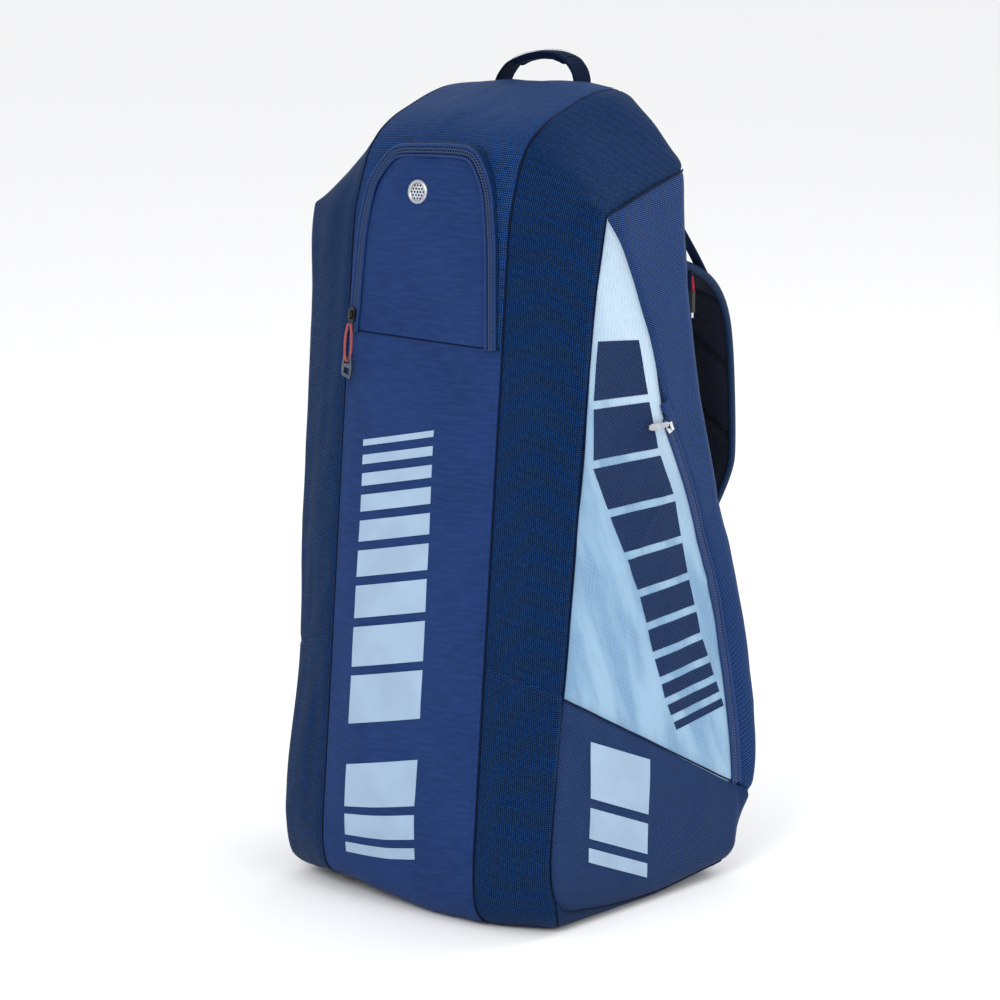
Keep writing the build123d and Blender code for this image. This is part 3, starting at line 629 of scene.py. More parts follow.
def cell_weave(name, base, pitch=4.0):
    """Dobby weave with small raised cells in diagonal rows."""
    s = Shader(name, 0.6, sheen=0.04, specular=0.14, tint=BLUE_TINT)
    cells = s.times(s.sine(s.math("ADD", s.u, s.v), pitch), s.sine(s.math("SUBTRACT", s.u, s.v), pitch))
    uneven = s.math("ADD", cells, s.times(s.math("SUBTRACT", s.cloud(4.0), 0.5), 0.9))
    height = s.scaled(s.sine(s.v, 0.9), 0.18, uneven)
    # painted highlight on the raised cells, and painted shade in the pits between them
    colour = s.tone(worn(s, base), uneven, 0.1, 0.95, shade(base, 4.2))
    colour = s.tone(colour, height, -0.15, -0.9, shade(base, 0.28))
    return s.done(colour, height, 0.5)


def twill(name, base, pitch=2.6, angle=58.0, light=2.6):
    """Diagonal twill with lighter threads."""
    s = Shader(name, 0.58, sheen=0.05, specular=0.18, tint=BLUE_TINT)
    c, w = math.cos(math.radians(angle)), math.sin(math.radians(angle))
    slant = s.scaled(s.v, w, s.times(s.u, c))
    across = s.scaled(s.v, -c, s.times(s.u, w))
    height = s.math("ADD", s.sine(slant, pitch), s.times(s.sine(across, 2.6), 0.35))
    colour = s.tone(worn(s, base), height, 0.2, 1.2, shade(base, light))
    colour = s.tone(colour, height, -0.3, -1.2, shade(base, 0.5))
    return s.done(colour, height, 0.45)


def ripstop(name, base):
    """Thin light fabric with a grid of thicker threads, fine crinkles, a soft sheen, and a painted highlight
    and painted crease shade in its colour.
    """
    s = Shader(name, 0.36, sheen=0.05, specular=0.45, tint=(0.9, 0.95, 1.0))
    grid = s.math("MAXIMUM", s.ramp(s.sine(s.u, 5.0), 0.86, 1.0), s.ramp(s.sine(s.v, 5.0), 0.86, 1.0))
    fine = s.times(s.sine(s.u, 1.1), s.sine(s.v, 1.1))
    crinkle = s.times(s.cloud(16, (1.0, 0.6), 5.0), 3.0)
    height = s.scaled(fine, 0.08, s.scaled(grid, 0.25, crinkle))
    turned_uv = s.add("ShaderNodeVectorRotate", s.uv)
    turned_uv.inputs["Angle"].default_value = -0.62
    # band: diagonal bands of painted crease shade
    band = s.noise(s.stretched(turned_uv.outputs[0], 1.0, 0.3), 24.0, 3.0)
    # painted highlight: paler towards its top; painted crease shade in diagonal bands, darker and streaked
    # low down
    colour = s.tone(shade(base, 0.85), band, 0.36, 0.66, (0.25, 0.39, 0.52))
    colour = s.mix(s.times(s.ramp(s.v, 0.22, 0.42), 0.9), colour, (0.50, 0.61, 0.70))
    low_crease_shade = s.tone((0.13, 0.25, 0.40), band, 0.40, 0.64, (0.25, 0.40, 0.54))
    colour = s.mix(s.times(s.ramp(s.v, 0.26, 0.06), 0.75), colour, low_crease_shade)
    colour = s.mix(s.times(grid, 0.55), colour, shade(base, 1.28))
    threads = s.times(s.ramp(s.cloud(2.2, (1.0, 0.14)), 0.45, 0.75), 0.35)
    colour = s.mix(threads, colour, shade(base, 1.22))
    # darker along its seams: painted shade where the panel turns in at a seam
    colour = s.mix(s.times(s.seam(), 0.5), colour, shade(base, 0.7))
    return s.done(colour, height, 0.5)


def air_mesh(name, base, pitch=3.2):
    """Spacer mesh: dark round openings in staggered rows."""
    s = Shader(name, 0.8, sheen=0.08, specular=0.15, tint=(0.6, 0.65, 0.8))
    slants = [s.sine(s.scaled(s.v, half, s.times(s.u, 0.866)), pitch) for half in (0.5, -0.5)]
    holes = s.math("ADD", s.math("ADD", *slants), s.sine(s.v, pitch))
    rim = s.ramp(holes, -0.4, 1.2)
    colour = s.mix(rim, worn(s, base, 1.1), shade(base, 0.22))
    return s.done(colour, s.math("SUBTRACT", 1.0, rim), 0.7)


def webbing_material(name, base, pitch=1.7):
    """Woven webbing with ribs along it and a chevron weave across them."""
    s = Shader(name, 0.6, sheen=0.05, specular=0.2, tint=SOFT_TINT)
    zig = s.math("ABSOLUTE", s.sine(s.u, 12.0))
    weave = s.sine(s.scaled(zig, 0.0012, s.v), 1.4)
    height = s.scaled(weave, 0.6, s.times(s.sine(s.u, pitch), 0.5))
    colour = s.tone(shade(base, 0.85), s.cloud(30), 0.3, 0.7, shade(base, 1.2))
    colour = s.tone(colour, height, 0.1, 1.0, shade(base, 1.7))
    colour = s.tone(colour, height, -0.2, -1.0, shade(base, 0.55))
    return s.done(colour, height, 0.25)


def satin(name, base, roughness=0.4):
    """Bias tape: smooth satin with fine threads round it."""
    s = Shader(name, roughness, sheen=0.05, specular=0.3, tint=SOFT_TINT)
    threads = s.scaled(s.cloud(1.5, (1.0, 0.2)), 0.8, s.sine(s.math("ADD", s.u, s.v), 0.9))
    colour = s.tone(shade(base, 0.8), threads, 0.0, 1.4, shade(base, 1.35))
    colour = s.tone(colour, s.cloud(25), 0.35, 0.7, shade(base, 1.15))
    return s.done(colour, threads, 0.12)


def coil(name, base):
    """Nylon zip coil."""
    s = Shader(name, 0.34, specular=0.3, tint=(0.3, 0.5, 1.0))
    colour = s.tone(shade(base, 0.7), s.cloud(2.0), 0.35, 0.65, shade(base, 1.8))
    return s.done(colour, s.cloud(0.8), 0.1)


def metal(name, base, roughness, metallic=1.0, wear=0.25, coat=0.0):
    """Cast or plated metal with fine scratches and duller handled spots."""
    s = Shader(name, roughness, metallic=metallic, coat=coat)
    place = s.add("ShaderNodeTexCoord").outputs["Object"]
    blot = s.noise(place, 160.0)
    colour = s.tone(base, blot, 0.4, 0.7, shade(base, 1.0 + wear))
    rough = s.scaled(blot, wear, roughness - wear * 0.4)
    return s.done(colour, s.noise(place, 900.0, 4.0), 0.05, rough)


def plastic(name, base, roughness=0.45, grain_mm=0.6):
    """Moulded plastic or rubber with a fine spark-eroded grain."""
    s = Shader(name, roughness)
    place = s.add("ShaderNodeTexCoord").outputs["Object"]
    rubbed = s.noise(place, 70.0)
    colour = s.tone(base, rubbed, 0.4, 0.7, shade(base, 1.5))
    return s.done(colour, s.noise(place, 1000.0 / grain_mm), 0.08, s.scaled(rubbed, 0.2, roughness - 0.1))


def braid(name, base):
    """Round braided cord: strands that cross in a diamond pattern."""
    s = Shader(name, 0.55, sheen=0.3)
    strands = s.math("MAXIMUM", *(s.sine(s.math(sign, s.u, s.v), 1.3) for sign in ("ADD", "SUBTRACT")))
    colour = s.tone(shade(base, 0.6), strands, 0.2, 1.0, shade(base, 1.25))
    return s.done(colour, strands, 0.3)


def printed(name, base):
    """Soft print: the weave shows through it, and it is a little rubbed."""
    s = Shader(name, 0.5, sheen=0.1)
    weave = s.times(s.sine(s.u, 1.3), s.sine(s.v, 1.3))
    colour = s.tone(shade(base, 0.93), s.cloud(45), 0.3, 0.7, shade(base, 1.06))
    colour = s.mix(s.times(s.ramp(s.cloud(1.6), 0.62, 0.8), 0.5), colour, shade(base, 0.7))
    return s.done(colour, weave, 0.12)


NAVY = (0.0116, 0.02862, 0.10608)
DEEP = (0.00275, 0.01213, 0.044)
ROYAL = (0.0090, 0.0250, 0.084)
M = {
    "smooth": plain_weave("smooth_weave", NAVY),
    "cells": cell_weave("cell_weave", DEEP),
    "top_cells": cell_weave("top_cell_weave", (0.0060, 0.0215, 0.076)),
    "twill": twill("twill_weave", ROYAL, pitch=2.3, light=3.5),
    "low_twill": twill("low_twill", shade(ROYAL, 0.85), pitch=2.0, angle=62.0, light=3.0),
    "light": ripstop("light_ripstop", (0.150, 0.290, 0.455)),
    "mesh": air_mesh("air_mesh", (0.006, 0.010, 0.026)),
    "strap_mesh": air_mesh("strap_mesh", (0.0170, 0.0200, 0.0380), 2.2),
    "webbing": webbing_material("webbing", (0.0060, 0.0110, 0.034)),
    "yoke": webbing_material("yoke_cloth", (0.0075, 0.0150, 0.045), 2.2),
    "piping": satin("piping_satin", (0.0110, 0.0300, 0.110)),
    "binding": satin("strap_binding", (0.0030, 0.0150, 0.042), 0.55),
    "tape": webbing_material("zip_tape", (0.0035, 0.0085, 0.034), 1.1),
    "grip": plain_weave("handle_cloth", (0.0016, 0.0035, 0.014), 1.5, 0.3, 0.02, 0.9),
    "dark_tape": webbing_material("dark_zip_tape", (0.0008, 0.0018, 0.008), 1.1),
    "coil": coil("zip_coil", (0.030, 0.052, 0.120)),
    "thread": satin("thread", (0.020, 0.042, 0.125)),
    "lining": plain_weave("lining_cloth", (0.050, 0.056, 0.070), 0.9, 0.2, 0.05),
    "bottom": cell_weave("bottom_cloth", DEEP, 4.4),
    "chrome": metal("chrome", (0.62, 0.63, 0.66), 0.14),
    "satin_metal": metal("satin_metal", (0.42, 0.44, 0.47), 0.34),
    "vent": metal("vent_plate", (0.62, 0.64, 0.67), 0.36),
    "black_metal": metal("black_metal", (0.012, 0.012, 0.014), 0.25, 0.4, 0.3, coat=0.5),
    "gunmetal": metal("gunmetal", (0.10, 0.11, 0.13), 0.3, 0.85),
    "rubber": plastic("pull_rubber", (0.014, 0.015, 0.020), 0.6),
    "plastic": plastic("buckle_plastic", (0.012, 0.012, 0.014), 0.35),
    "board": plastic("board_plastic", (0.035, 0.035, 0.042), 0.55, 1.4),
    "cord": braid("red_cord", (0.52, 0.018, 0.022)),
    "label": satin("red_label", (0.50, 0.015, 0.03), 0.5),
    "print": printed("light_print", (0.275, 0.385, 0.530)),
    "dark_print": twill("navy_overlay", shade(ROYAL, 0.72), pitch=2.1, angle=62.0, light=2.2),
    # near-black cord colour: painted shade of a seam's groove
    "gap_cord": satin("seam_shade_cord", (0.0008, 0.0025, 0.012), 0.75),
    "gap": plastic("seam_shadow", (0.002, 0.002, 0.004), 0.9),
}
# ------------------------------------------------------------------ middle band


def band_grid(key0, key1, step=4.0):
    keys = np.linspace(key0, key1, int((key1 - key0) / step) + 2)
    xs = np.linspace(-BAND_HALF, BAND_HALF, int(2 * BAND_HALF / step) + 1)
    return front_surface(*np.meshgrid(xs, keys))


def middle_band():
    cloth("front_panel_lower", band_grid(0.0, KEY_POCKET), "smooth", "root", "smooth_weave",
          ["spine_lower_panel"], 0.4, roll=(0, 0.6, 1, 1))
    grid = band_grid(KEY_POCKET, KEY_CAP, 3.0)
    wide, top = half_width(8.5)
    x, _, z = grid.transpose(2, 0, 1)
    inside = (z > POCKET_LOW_Z + 9.0) & (z < top) & (np.abs(x) < wide(z))
    pocket_depth = 31.0
    cloth("front_panel_upper", grid, "top_cells", "root", "smooth_weave", ["spine_upper_panel"], 0.4,
          roll=(0.6, 0, 1, 1), relief=lambda u, v: np.where(inside, -pocket_depth, 0.0))
    cloth("top_cap", band_grid(KEY_CAP, PROFILE_END), "top_cells", "root", "textured_weave",
          ["top_panel"], 0.4, roll=(0, 0.5, 1, 1))


def seam_path(x, sink=0.0, key0=4.0):
    """Line and outward directions along the middle band's edge, at half width x."""
    keys = np.arange(key0, PROFILE_END, 5.0)
    yz = profile_at(keys)
    tangent = unit(profile_at(keys + 1.0) - profile_at(keys - 1.0))
    out = np.stack([0 * keys, -tangent[:, 1], tangent[:, 0]], axis=1)
    return np.stack([x + 0 * keys, yz[:, 0], yz[:, 1]], axis=1) - out * sink, out


def spine_seams():
    """Corded edge of the band, coloured near black as painted shade of the seam's groove, with the main zip
    sunk beside it.
    """
    for side, sign in SIDES:
        ribbon(f"{side}_piping", *seam_path(sign * 96.0, 1.7), oval(2.8, 2.8), "gap_cord", "root",
               "piping_fabric", ["spine_piping"] if side == "right" else [])
        path, out = seam_path(sign * 96.4, 5.4, 26.0)
        ribbon(f"{side}_main_zip_tape", path, out, strip_section(9.0, 1.0), "tape", "root", "zip_tape",
               [f"{side}_main_zip"])
        teeth(f"{side}_main_zip_teeth", path, out, "root", 2.4, 2.2)
        out = seam_path(0.0, key0=30.0)[1]
        keys = np.linspace(30.0, PROFILE_END - 6, len(out))
        ups = surface_normal(front_surface, np.full(len(out), sign * 90.0), keys)
        ups = ups * np.sign(np.sum(ups * out, axis=1))[:, None]
        line = front_surface(np.full(len(out), sign * 91.0), keys)
        stitches(f"{side}_band_stitches", line - ups * 0.1, ups, "root")


# ------------------------------------------------------------------ covers

# Rows of the shoulder: seam (depth, height), middle (x, depth, height), corner on the side (depth, height)
# and seam of the side's face (depth, height)
SHOULDER_ROWS = [
    ((-98, 699), (141, -84, 688), (-75.5, 673.5), (-67.5, 666.5)),
    ((-86, 724), (141, -70, 701), (-66, 676.5), (-60, 669)),
    ((-56, 746), (137, -47, 714), (-45, 682), (-41, 675)),
    ((-10, 762), (128, -5, 738), (-5, 693), (-3, 686.5)),
    ((15, 768), (117, 18, 759), (20, 699), (21.5, 692.5)),
    ((44, 768), (116, 43, 763), (42, 704), (40, 697)),
]
REAR_ROWS = [  # the shoulder's rounded rear edge, with x given for every point
    ((97.6, 50, 766.5), (114.0, 49.5, 760.5), (174.0, 48.5, 702.0), (176.5, 44.0, 697.0)),
    ((97.6, 53.5, 760.5), (110.0, 53.2, 754.0), (163.0, 53.0, 706.0), (165.0, 51.5, 697.0)),
    ((97.6, 54.0, 753.0), (106.0, 54.0, 748.0), (149.5, 54.0, 709.0), (149.0, 54.0, 697.0)),
]


def strip_controls():
    """Control points of every row, from the bottom to the shoulder's rear edge, and their keys."""
    keys, rows = [], []
    for z in (0.8, 2.5, 6.0, 12.0, 18.0, 26.0, 40.0, 66.0, 160.0, STRIP_SEAM_Z, 420.0, LEAN_Z, 640.0, 661.0):
        y, zs = profile_at(profile_key(z))
        # a row drops towards the side's corner, most at the strip's seam
        ze = z - np.interp(z, [66, STRIP_SEAM_Z, LEAN_Z], [0, 20, 0])
        inset = float(bottom_inset(ze))
        xe, ye = float(side_x(ze)) - inset, float(side_front(ze)) + inset
        seam = (xe, ye + FRONT_ROUND, ze)
        if z > LEAN_Z:
            share = (z - LEAN_Z) / (661.0 - LEAN_Z)
            ye, ze = -90.8 + share * 14.0, LEAN_Z + share * 80.0
            xe = float(side_x(ze))
            seam = (xe, -82.8 + share * 14.3, LEAN_Z + share * 73.5)
        middle = ((SEAM_X + xe) / 2, (y + ye) / 2 - 2.5 * min(1, z / 60), (zs + ze) / 2)
        keys.append(float(profile_key(z)))
        rows.append([(SEAM_X, y, zs), middle, (xe, ye, ze), seam])
    for s, m, e, f in SHOULDER_ROWS:
        rows.append([(SEAM_X, *s), m, (side_x(e[1]), *e), (side_x(f[1]), *f)])
        keys.append(keys[-1] + math.hypot(s[0] - rows[-2][0][1], s[1] - rows[-2][0][2]))
    for row in REAR_ROWS:
        rows.append(list(row))
        keys.append(keys[-1] + 6.5)
    return np.array(keys), np.array(rows, float)


strip_keys, strip_rows = strip_controls()
strip_at = smooth_rows(strip_keys, strip_rows.reshape(len(strip_rows), 12), 7.0)


def strip_grid(key0, key1, step=4.0):
    """Strip and shoulder between the spine's seam and the seam round the side's face."""
    keys = np.linspace(key0, key1, int((key1 - key0) / step) + 2)
    s, m, e, f = strip_at(keys).reshape(-1, 4, 3).transpose(1, 0, 2)
    parts = []
    for a, b, count in ((s, m, 9), (m, e, 11), (e, f, 3)):
        share = np.linspace(0, 1, count, endpoint=False)[None, :, None]
        parts.append(a[:, None] * (1 - share) + b[:, None] * share)
    grid = np.concatenate(parts + [f[:, None]], axis=1)
    for _ in range(4):
        grid[:, 1:-1] = 0.25 * grid[:, :-2] + 0.5 * grid[:, 1:-1] + 0.25 * grid[:, 2:]
    return grid


def low_seam(t):
    """Height of the seam under the lower side panel: it runs out into the bottom edge."""
    return np.interp(t, [-104.0, -84.0, -50.0, 0.0, 60.0], [18.6, 16.2, 11.0, 7.0, 5.6])


def strip_relief(seed):
    def relief(u, v):
        pucker = 0.9 * creases(u, v, 35, 30, 70, seed, 5.0) * np.exp(-(v - 60) ** 2 / 4e4)
        return 1.6 * folds(u, v, 5, 26, 130, seed) + 1.2 * folds(u, v, 62, 30, 70, seed + 5) + pucker
    return relief


def side_seed(sign):
    """Seed that gives each side folds of its own."""
    return 0 if sign > 0 else 60


def on_side(line, sign):
    """Points of a side's face for (depth, height)."""
    return mirrored(side_surface(line[..., 0], line[..., 1], side_seed(sign)), sign)


def side_out(line, sign):
    """Outward directions of a side's face along a line of (depth, height)."""
    def face(t, z):
        return side_surface(t, z, side_seed(sign))

    out = surface_normal(face, line[:, 0], line[:, 1])
    return mirrored(out * np.sign(out[:, :1] + 1e-6), sign)


def front_seam(z, shift=0.0):
    """Depth of the seam between the front strip and the side's face, moved forward by shift."""
    lean = np.interp(z, [LEAN_Z, APEX[1]], [-82.8, APEX[0]])
    return np.where(z > LEAN_Z, lean, side_front(z) + FRONT_ROUND) - shift


def zip_arc(radial):
    """The zip's arc from its top down, moved outwards by radial."""
    ends = [math.atan2(p[1] - ZIP_CENTRE[1], p[0] - ZIP_CENTRE[0]) for p in (ZIP_TOP, ZIP_LOW)]
    angles = np.linspace(*ends, 60)
    return np.array(ZIP_CENTRE) + (ZIP_RADIUS + radial) * np.stack([np.cos(angles), np.sin(angles)], axis=1)


def zip_rise(radial, rows):
    """The zip's line from its low end up, and on to the apex of the light panel."""
    shift = 0.4 if radial > 0 else -0.4
    tail = np.array(ZIP_TAIL + [APEX]) + (shift, 0.0)
    return picked(resample(np.concatenate([zip_arc(radial)[:0:-1], tail]), 1.0, 9.0), rows)


def front_strips(side, sign):
    """Strip beside the middle band in two lengths, the upper one running over the shoulder."""
    body, seed = f"{side}_cover", side_seed(sign)
    key_seam = float(profile_key(STRIP_SEAM_Z))
    low, high = strip_keys[0], strip_keys[-1]
    for name, keys, roll, draw, nodes in (
            ("lower", (low, key_seam), (0, 0.8, 1, 1), 61, ["front_strip_lower"]),
            ("upper", (key_seam, high), (0.8, 0.3, 1, 1), 71, ["front_strip_upper", "shoulder_panel"])):
        cloth(f"{side}_strip_{name}", mirrored(strip_grid(*keys), sign), "cells", body, "textured_weave",
              [f"{side}_{node}" for node in nodes], 0.4, roll=roll, relief=strip_relief(draw + seed),
              flip=sign < 0)
    for k, shift in enumerate((-2.6, -5.2)):
        row = strip_grid(key_seam + shift, key_seam + shift + 0.5)[0][1:-2]
        share = np.linspace(0, 1, len(row))
        ups = unit(np.stack([0.35 * share ** 2 + 0.02, 0 * share - 1, 0 * share + 0.1], axis=1))
        stitches(f"{side}_strip_stitches_{k}", mirrored(row, sign), mirrored(ups, sign), body, pitch=3.0,
                 lift=0.5)


# Rounded front corner of the lower panel, from its foot up, and the cord just outside it, from the top down
LOW_CORNER = [(-104.0, 19.0), (-116.0, 24.0), (-128.0, 37.0), (-133.0, 52.0), (-134.3, 75.0)]
LOW_CORNER_CORD = [(-134.8, 75.0), (-133.2, 52.0), (-128.0, 36.0), (-116.0, 23.0), (-104.0, 18.0)]
# Dart below the shoulder, from the apex to the rear: the rear panel's edge, and the cord just above it
DART = [(-68.0, 666.5), (-59.5, 668.8), (-41, 674.6), (-3, 686.0), (21.5, 692.0), (40, 696.5)]
DART_CORD = [(-68.5, 666.6), (-59.5, 669.2), (-41, 675.0), (-3, 686.6), (21.5, 692.6), (40, 697.2),
             (48, 697.4)]


def seam_cords(side, sign):
    """Near-black cords sunk in the seams of a side, coloured as painted shade of the seams' grooves; the low
    one follows the bottom edge.
    """
    z = np.linspace(60.0, APEX[1], 90)[20:]
    start = float(front_seam(LIGHT_LOW_Z))
    foot = [(t, float(low_seam(t)) - 0.5) for t in range(-94, 141, 13)]
    for label, line, turn in (
            ("front", np.stack([front_seam(z, 0.4), z], axis=1), None),
            ("dart", resample(DART_CORD, 4.0, 2.0), None),
            ("light_low", resample([(start, LIGHT_LOW_Z - 0.2), ZIP_LOW], 5.0), None),
            ("low", resample([(start - 0.4, LIGHT_LOW_Z), *LOW_CORNER_CORD, *foot], 4.0, 5.0), COVER_TURN)):
        out = side_out(line, sign)
        ribbon(f"{side}_seam_{label}", on_side(line, sign) - out * 0.9, out, oval(2.0, 2.0, 8), "gap_cord",
               f"{side}_cover", "piping_fabric", turn=turn)


def light_panel(side, sign):
    """Light pocket panel, from the front seam to the zip and its run up to the apex."""
    rows = 130
    z = LIGHT_LOW_Z + np.linspace(0, 1, rows) * (APEX[1] - LIGHT_LOW_Z)
    grid = region(np.stack([front_seam(z), z], axis=1), zip_rise(-ZIP_HALF, rows), 44)
    cloth(f"{side}_ripstop", on_side(grid, sign), "light", f"{side}_cover", "light_ripstop",
          [f"{side}_side_pocket_panel"], 0.3, thick=2.2, roll=(1, 0, 1, 1), flip=sign < 0, lined_edge=True)


def lower_panel(side, sign):
    """Lower twill panel, with a rounded front corner, wrapped round the rear corner."""
    rows = 64
    z = np.linspace(90, LIGHT_LOW_Z - 0.4, 30)
    front = np.concatenate([LOW_CORNER, np.stack([front_seam(z), z], axis=1)])
    left = picked(resample(front, 1.0, 5.0), rows)
    z = np.linspace(LOW_CORNER[0][1], LOW_REAR_Z, rows)
    right = np.stack([rear_edge(z), z], axis=1)
    grid = region(left, right, 80)
    # the lowest row follows the seam below it, and the highest one bends where the zip ends
    share = np.linspace(0, 1, rows)[:, None]
    grid[:, :, 1] += share[::-1] ** 4 * (low_seam(grid[0, :, 0]) - grid[0, :, 1])
    seam = np.interp(grid[-1, :, 0], [left[-1, 0], ZIP_LOW[0], right[-1, 0]],
                     [left[-1, 1], ZIP_LOW[1] - 0.4, right[-1, 1]])
    grid[:, :, 1] += share ** 2 * (seam - grid[-1, :, 1])
    cloth(f"{side}_lower_twill", on_side(grid, sign), "low_twill", f"{side}_cover", "twill_weave",
          [f"{side}_side_lower_panel"], 0.4, COVER_TURN, roll=(1, 1, 1, 0.7), flip=sign < 0)


def bottom_strip(side, sign):
    """Strip of cell weave under the lower panel, round the bottom edge."""
    foot_t, foot_z = LOW_CORNER[0]
    t = np.concatenate([np.linspace(float(side_front(40)) + FRONT_ROUND, foot_t, 12, endpoint=False),
                        np.linspace(foot_t, float(rear_edge(foot_z)), 78)])
    corner_t, corner_z = np.array(LOW_CORNER[::-1]).T
    top_z = np.where(t > foot_t, low_seam(t), np.interp(t, corner_t, corner_z))
    z = 0.8 + np.linspace(0, 1, 12)[:, None] * (top_z - 0.8)
    front = side_front(z) + bottom_inset(z) + FRONT_ROUND
    depth = front + (t - t[0]) / (t[-1] - t[0]) * (rear_edge(z) - front)
    cloth(f"{side}_bottom_strip", on_side(np.stack([depth, z], axis=-1), sign), "cells", f"{side}_cover",
          "textured_weave", turn=HEM_TURN, roll=(0, 1, 0, 0.7), flip=sign < 0)


def rear_panel(side, sign):
    """Rear twill panel, from the zip round the rear corner; its top row follows the shoulder's dart."""
    rows, cols = 140, 52
    z = np.linspace(LOW_REAR_Z + 0.4, REAR_TOP_Z, rows)
    grid = region(zip_rise(ZIP_HALF, rows), np.stack([rear_edge(z), z], axis=1), cols)
    top = picked(resample([*DART, (float(rear_edge(REAR_TOP_Z)), REAR_TOP_Z)], 1.0, 3.0), cols)
    grid += np.linspace(0, 1, rows)[:, None, None] ** 3 * (top - grid[-1])
    turn = ((sign * 0.149, 0, 0), (sign * 0.168, 0, 0))
    cloth(f"{side}_rear_twill", on_side(grid, sign), "twill", f"{side}_cover", "twill_weave",
          [f"{side}_side_rear_panel", f"{side}_rear_strip"], 0.4, turn, roll=(1, 1, 1, 0.7), flip=sign < 0)


def side_zip(side, sign):
    """Zip tape up to the apex, its coil, the piped edges beside it and the garage above the slider."""
    body = f"{side}_cover"
    ups = side_out(zip_arc(0.0), sign)
    rise = zip_rise(0.0, 110)[:-3]
    out = side_out(rise, sign)
    ribbon(f"{side}_side_zip_tape", on_side(rise, sign) - out * 1.8, out, strip_section(13.0, 0.9), "tape",
           body, "zip_tape", [f"{side}_side_zip"])
    for k, shift in enumerate((-1.3, 1.3)):
        teeth(f"{side}_side_zip_teeth_{k}", on_side(zip_arc(shift), sign) - ups * 1.3, ups, body, 3.0, 1.9)
    for label, shift in (("front", -4.6), ("rear", 4.4)):
        edge = on_side(zip_arc(shift), sign) - ups * 0.5
        ribbon(f"{side}_side_zip_welt_{label}", edge, ups, oval(3.4, 2.4), "piping", body, "piping_fabric")
    tail = zip_rise(0.6, 90)[-34:]
    out = side_out(tail, sign)
    stitches(f"{side}_apex_stitches", on_side(tail, sign) + out * 0.2, out, body)
    garage = on_side(zip_arc(0.0)[:5] + (-4.5, 15.0), sign) + out[0] * 1.2
    ribbon(f"{side}_zip_garage", resample(garage, 3.0), out[0], strip_section(12.0, 2.2, 0.8), "twill", body,
           "twill_weave")


def side_lining(side, sign):
    """Inner wall of the side pocket, a single sheet of lining."""
    rows, cols = 46, 30
    rear = resample([(118.0, 108.0), (78.0, 318.0), (12.0, 470.0), (-50.0, 606.0)], 8.0, 20.0)
    z = np.linspace(LIGHT_LOW_Z, 560.0, 12)
    front = resample(np.stack([side_front(z) + 16.0, z], axis=1), 8.0)
    grid = region(picked(front, rows), picked(rear, rows), cols)
    points = side_surface(grid[..., 0], grid[..., 1])
    across, along = np.linspace(0, 1, cols), np.linspace(0.12, 0.9, rows)[:, None]
    points[..., 0] -= 9 + 16 * np.sin(np.pi * across) * np.sin(np.pi * along)
    sheet = cloth(f"{side}_pocket_lining", mirrored(points, sign), "lining", f"{side}_cover",
                  "lining_fabric", [f"{side}_side_pocket_lining"], backing=None, thick=0.8,
                  roll=(0, 0, 0, 0), flip=sign < 0)
    width = float(lengths(points.transpose(1, 0, 2))[-1].max()) * MM


# ------------------------------------------------------------------ prints


def bars(top, heights, edges, slant, gap=8.5):
    """Rows of slanted bars from the top down between two edge lines."""
    blocks = []
    for height in heights:
        low = top - height
        corners = []
        for b, share in ((low, 0), (low, 1), (top, 1), (top, 0)):
            left, right = edges(b)
            corners.append((left + (right - left) * share, b + slant(b) * share))
        blocks.append(np.array(corners))
        top = low - gap
    return blocks


def decal(name, surface, blocks, material, sign=1.0):
    """Flat printed blocks that follow a surface, as thin closed patches in one mesh."""
    verts, faces, uvs = [], [], []
    for p in blocks:
        cols, rows = (max(3, int(np.linalg.norm(p[k] - p[0]) / 3.0) + 1) for k in (1, 3))
        u, v = (s[..., None] for s in np.meshgrid(np.linspace(0, 1, cols), np.linspace(0, 1, rows)))
        flat = (1 - u) * (1 - v) * p[0] + u * (1 - v) * p[1] + u * v * p[2] + (1 - u) * v * p[3]
        points = surface(flat[..., 0], flat[..., 1])
        out = surface_normal(surface, flat[..., 0], flat[..., 1])
        out = out * np.sign(out @ np.array([1.0, -1.0, 0.0]))[..., None]
        top, low = points + out * 0.45, points - out * 0.5
        start, count = sum(len(x) for x in verts), rows * cols
        verts += [mirrored(top.reshape(-1, 3), sign), mirrored(low.reshape(-1, 3), sign)]
        ring = edge_ring(rows, cols) + start
        after = np.roll(ring, -1)
        rim = np.stack([ring, ring + count, after + count, after], axis=1)
        block = np.concatenate([grid_faces(rows, cols, start),
                                grid_faces(rows, cols, start + count, flip=True), rim])
        quad = top.reshape(-1, 3)[block[0] - start]
        inwards = np.dot(np.cross(quad[1] - quad[0], quad[2] - quad[1]), out[0, 0]) < 0
        faces += (block[:, ::-1] if inwards != (sign < 0) else block).tolist()
        uvs += [flat.reshape(-1, 2)] * 2
    return new_object(name, np.concatenate(verts), faces, [material], uvs=np.concatenate(uvs), angle=30)


# Edges of the side's column of bars, as depths at heights
COLUMN_FRONT = ((105.0, 202.0, 304.0, 436.0, 520.0, 565.0), (80.0, 25.0, -13.0, -84.0, -84.0, -77.0))
COLUMN_REAR = ((142.0, 188.0, 251.0, 392.0, 453.0, 557.0), (130.0, 109.0, 77.0, 34.0, 3.0, -22.0))


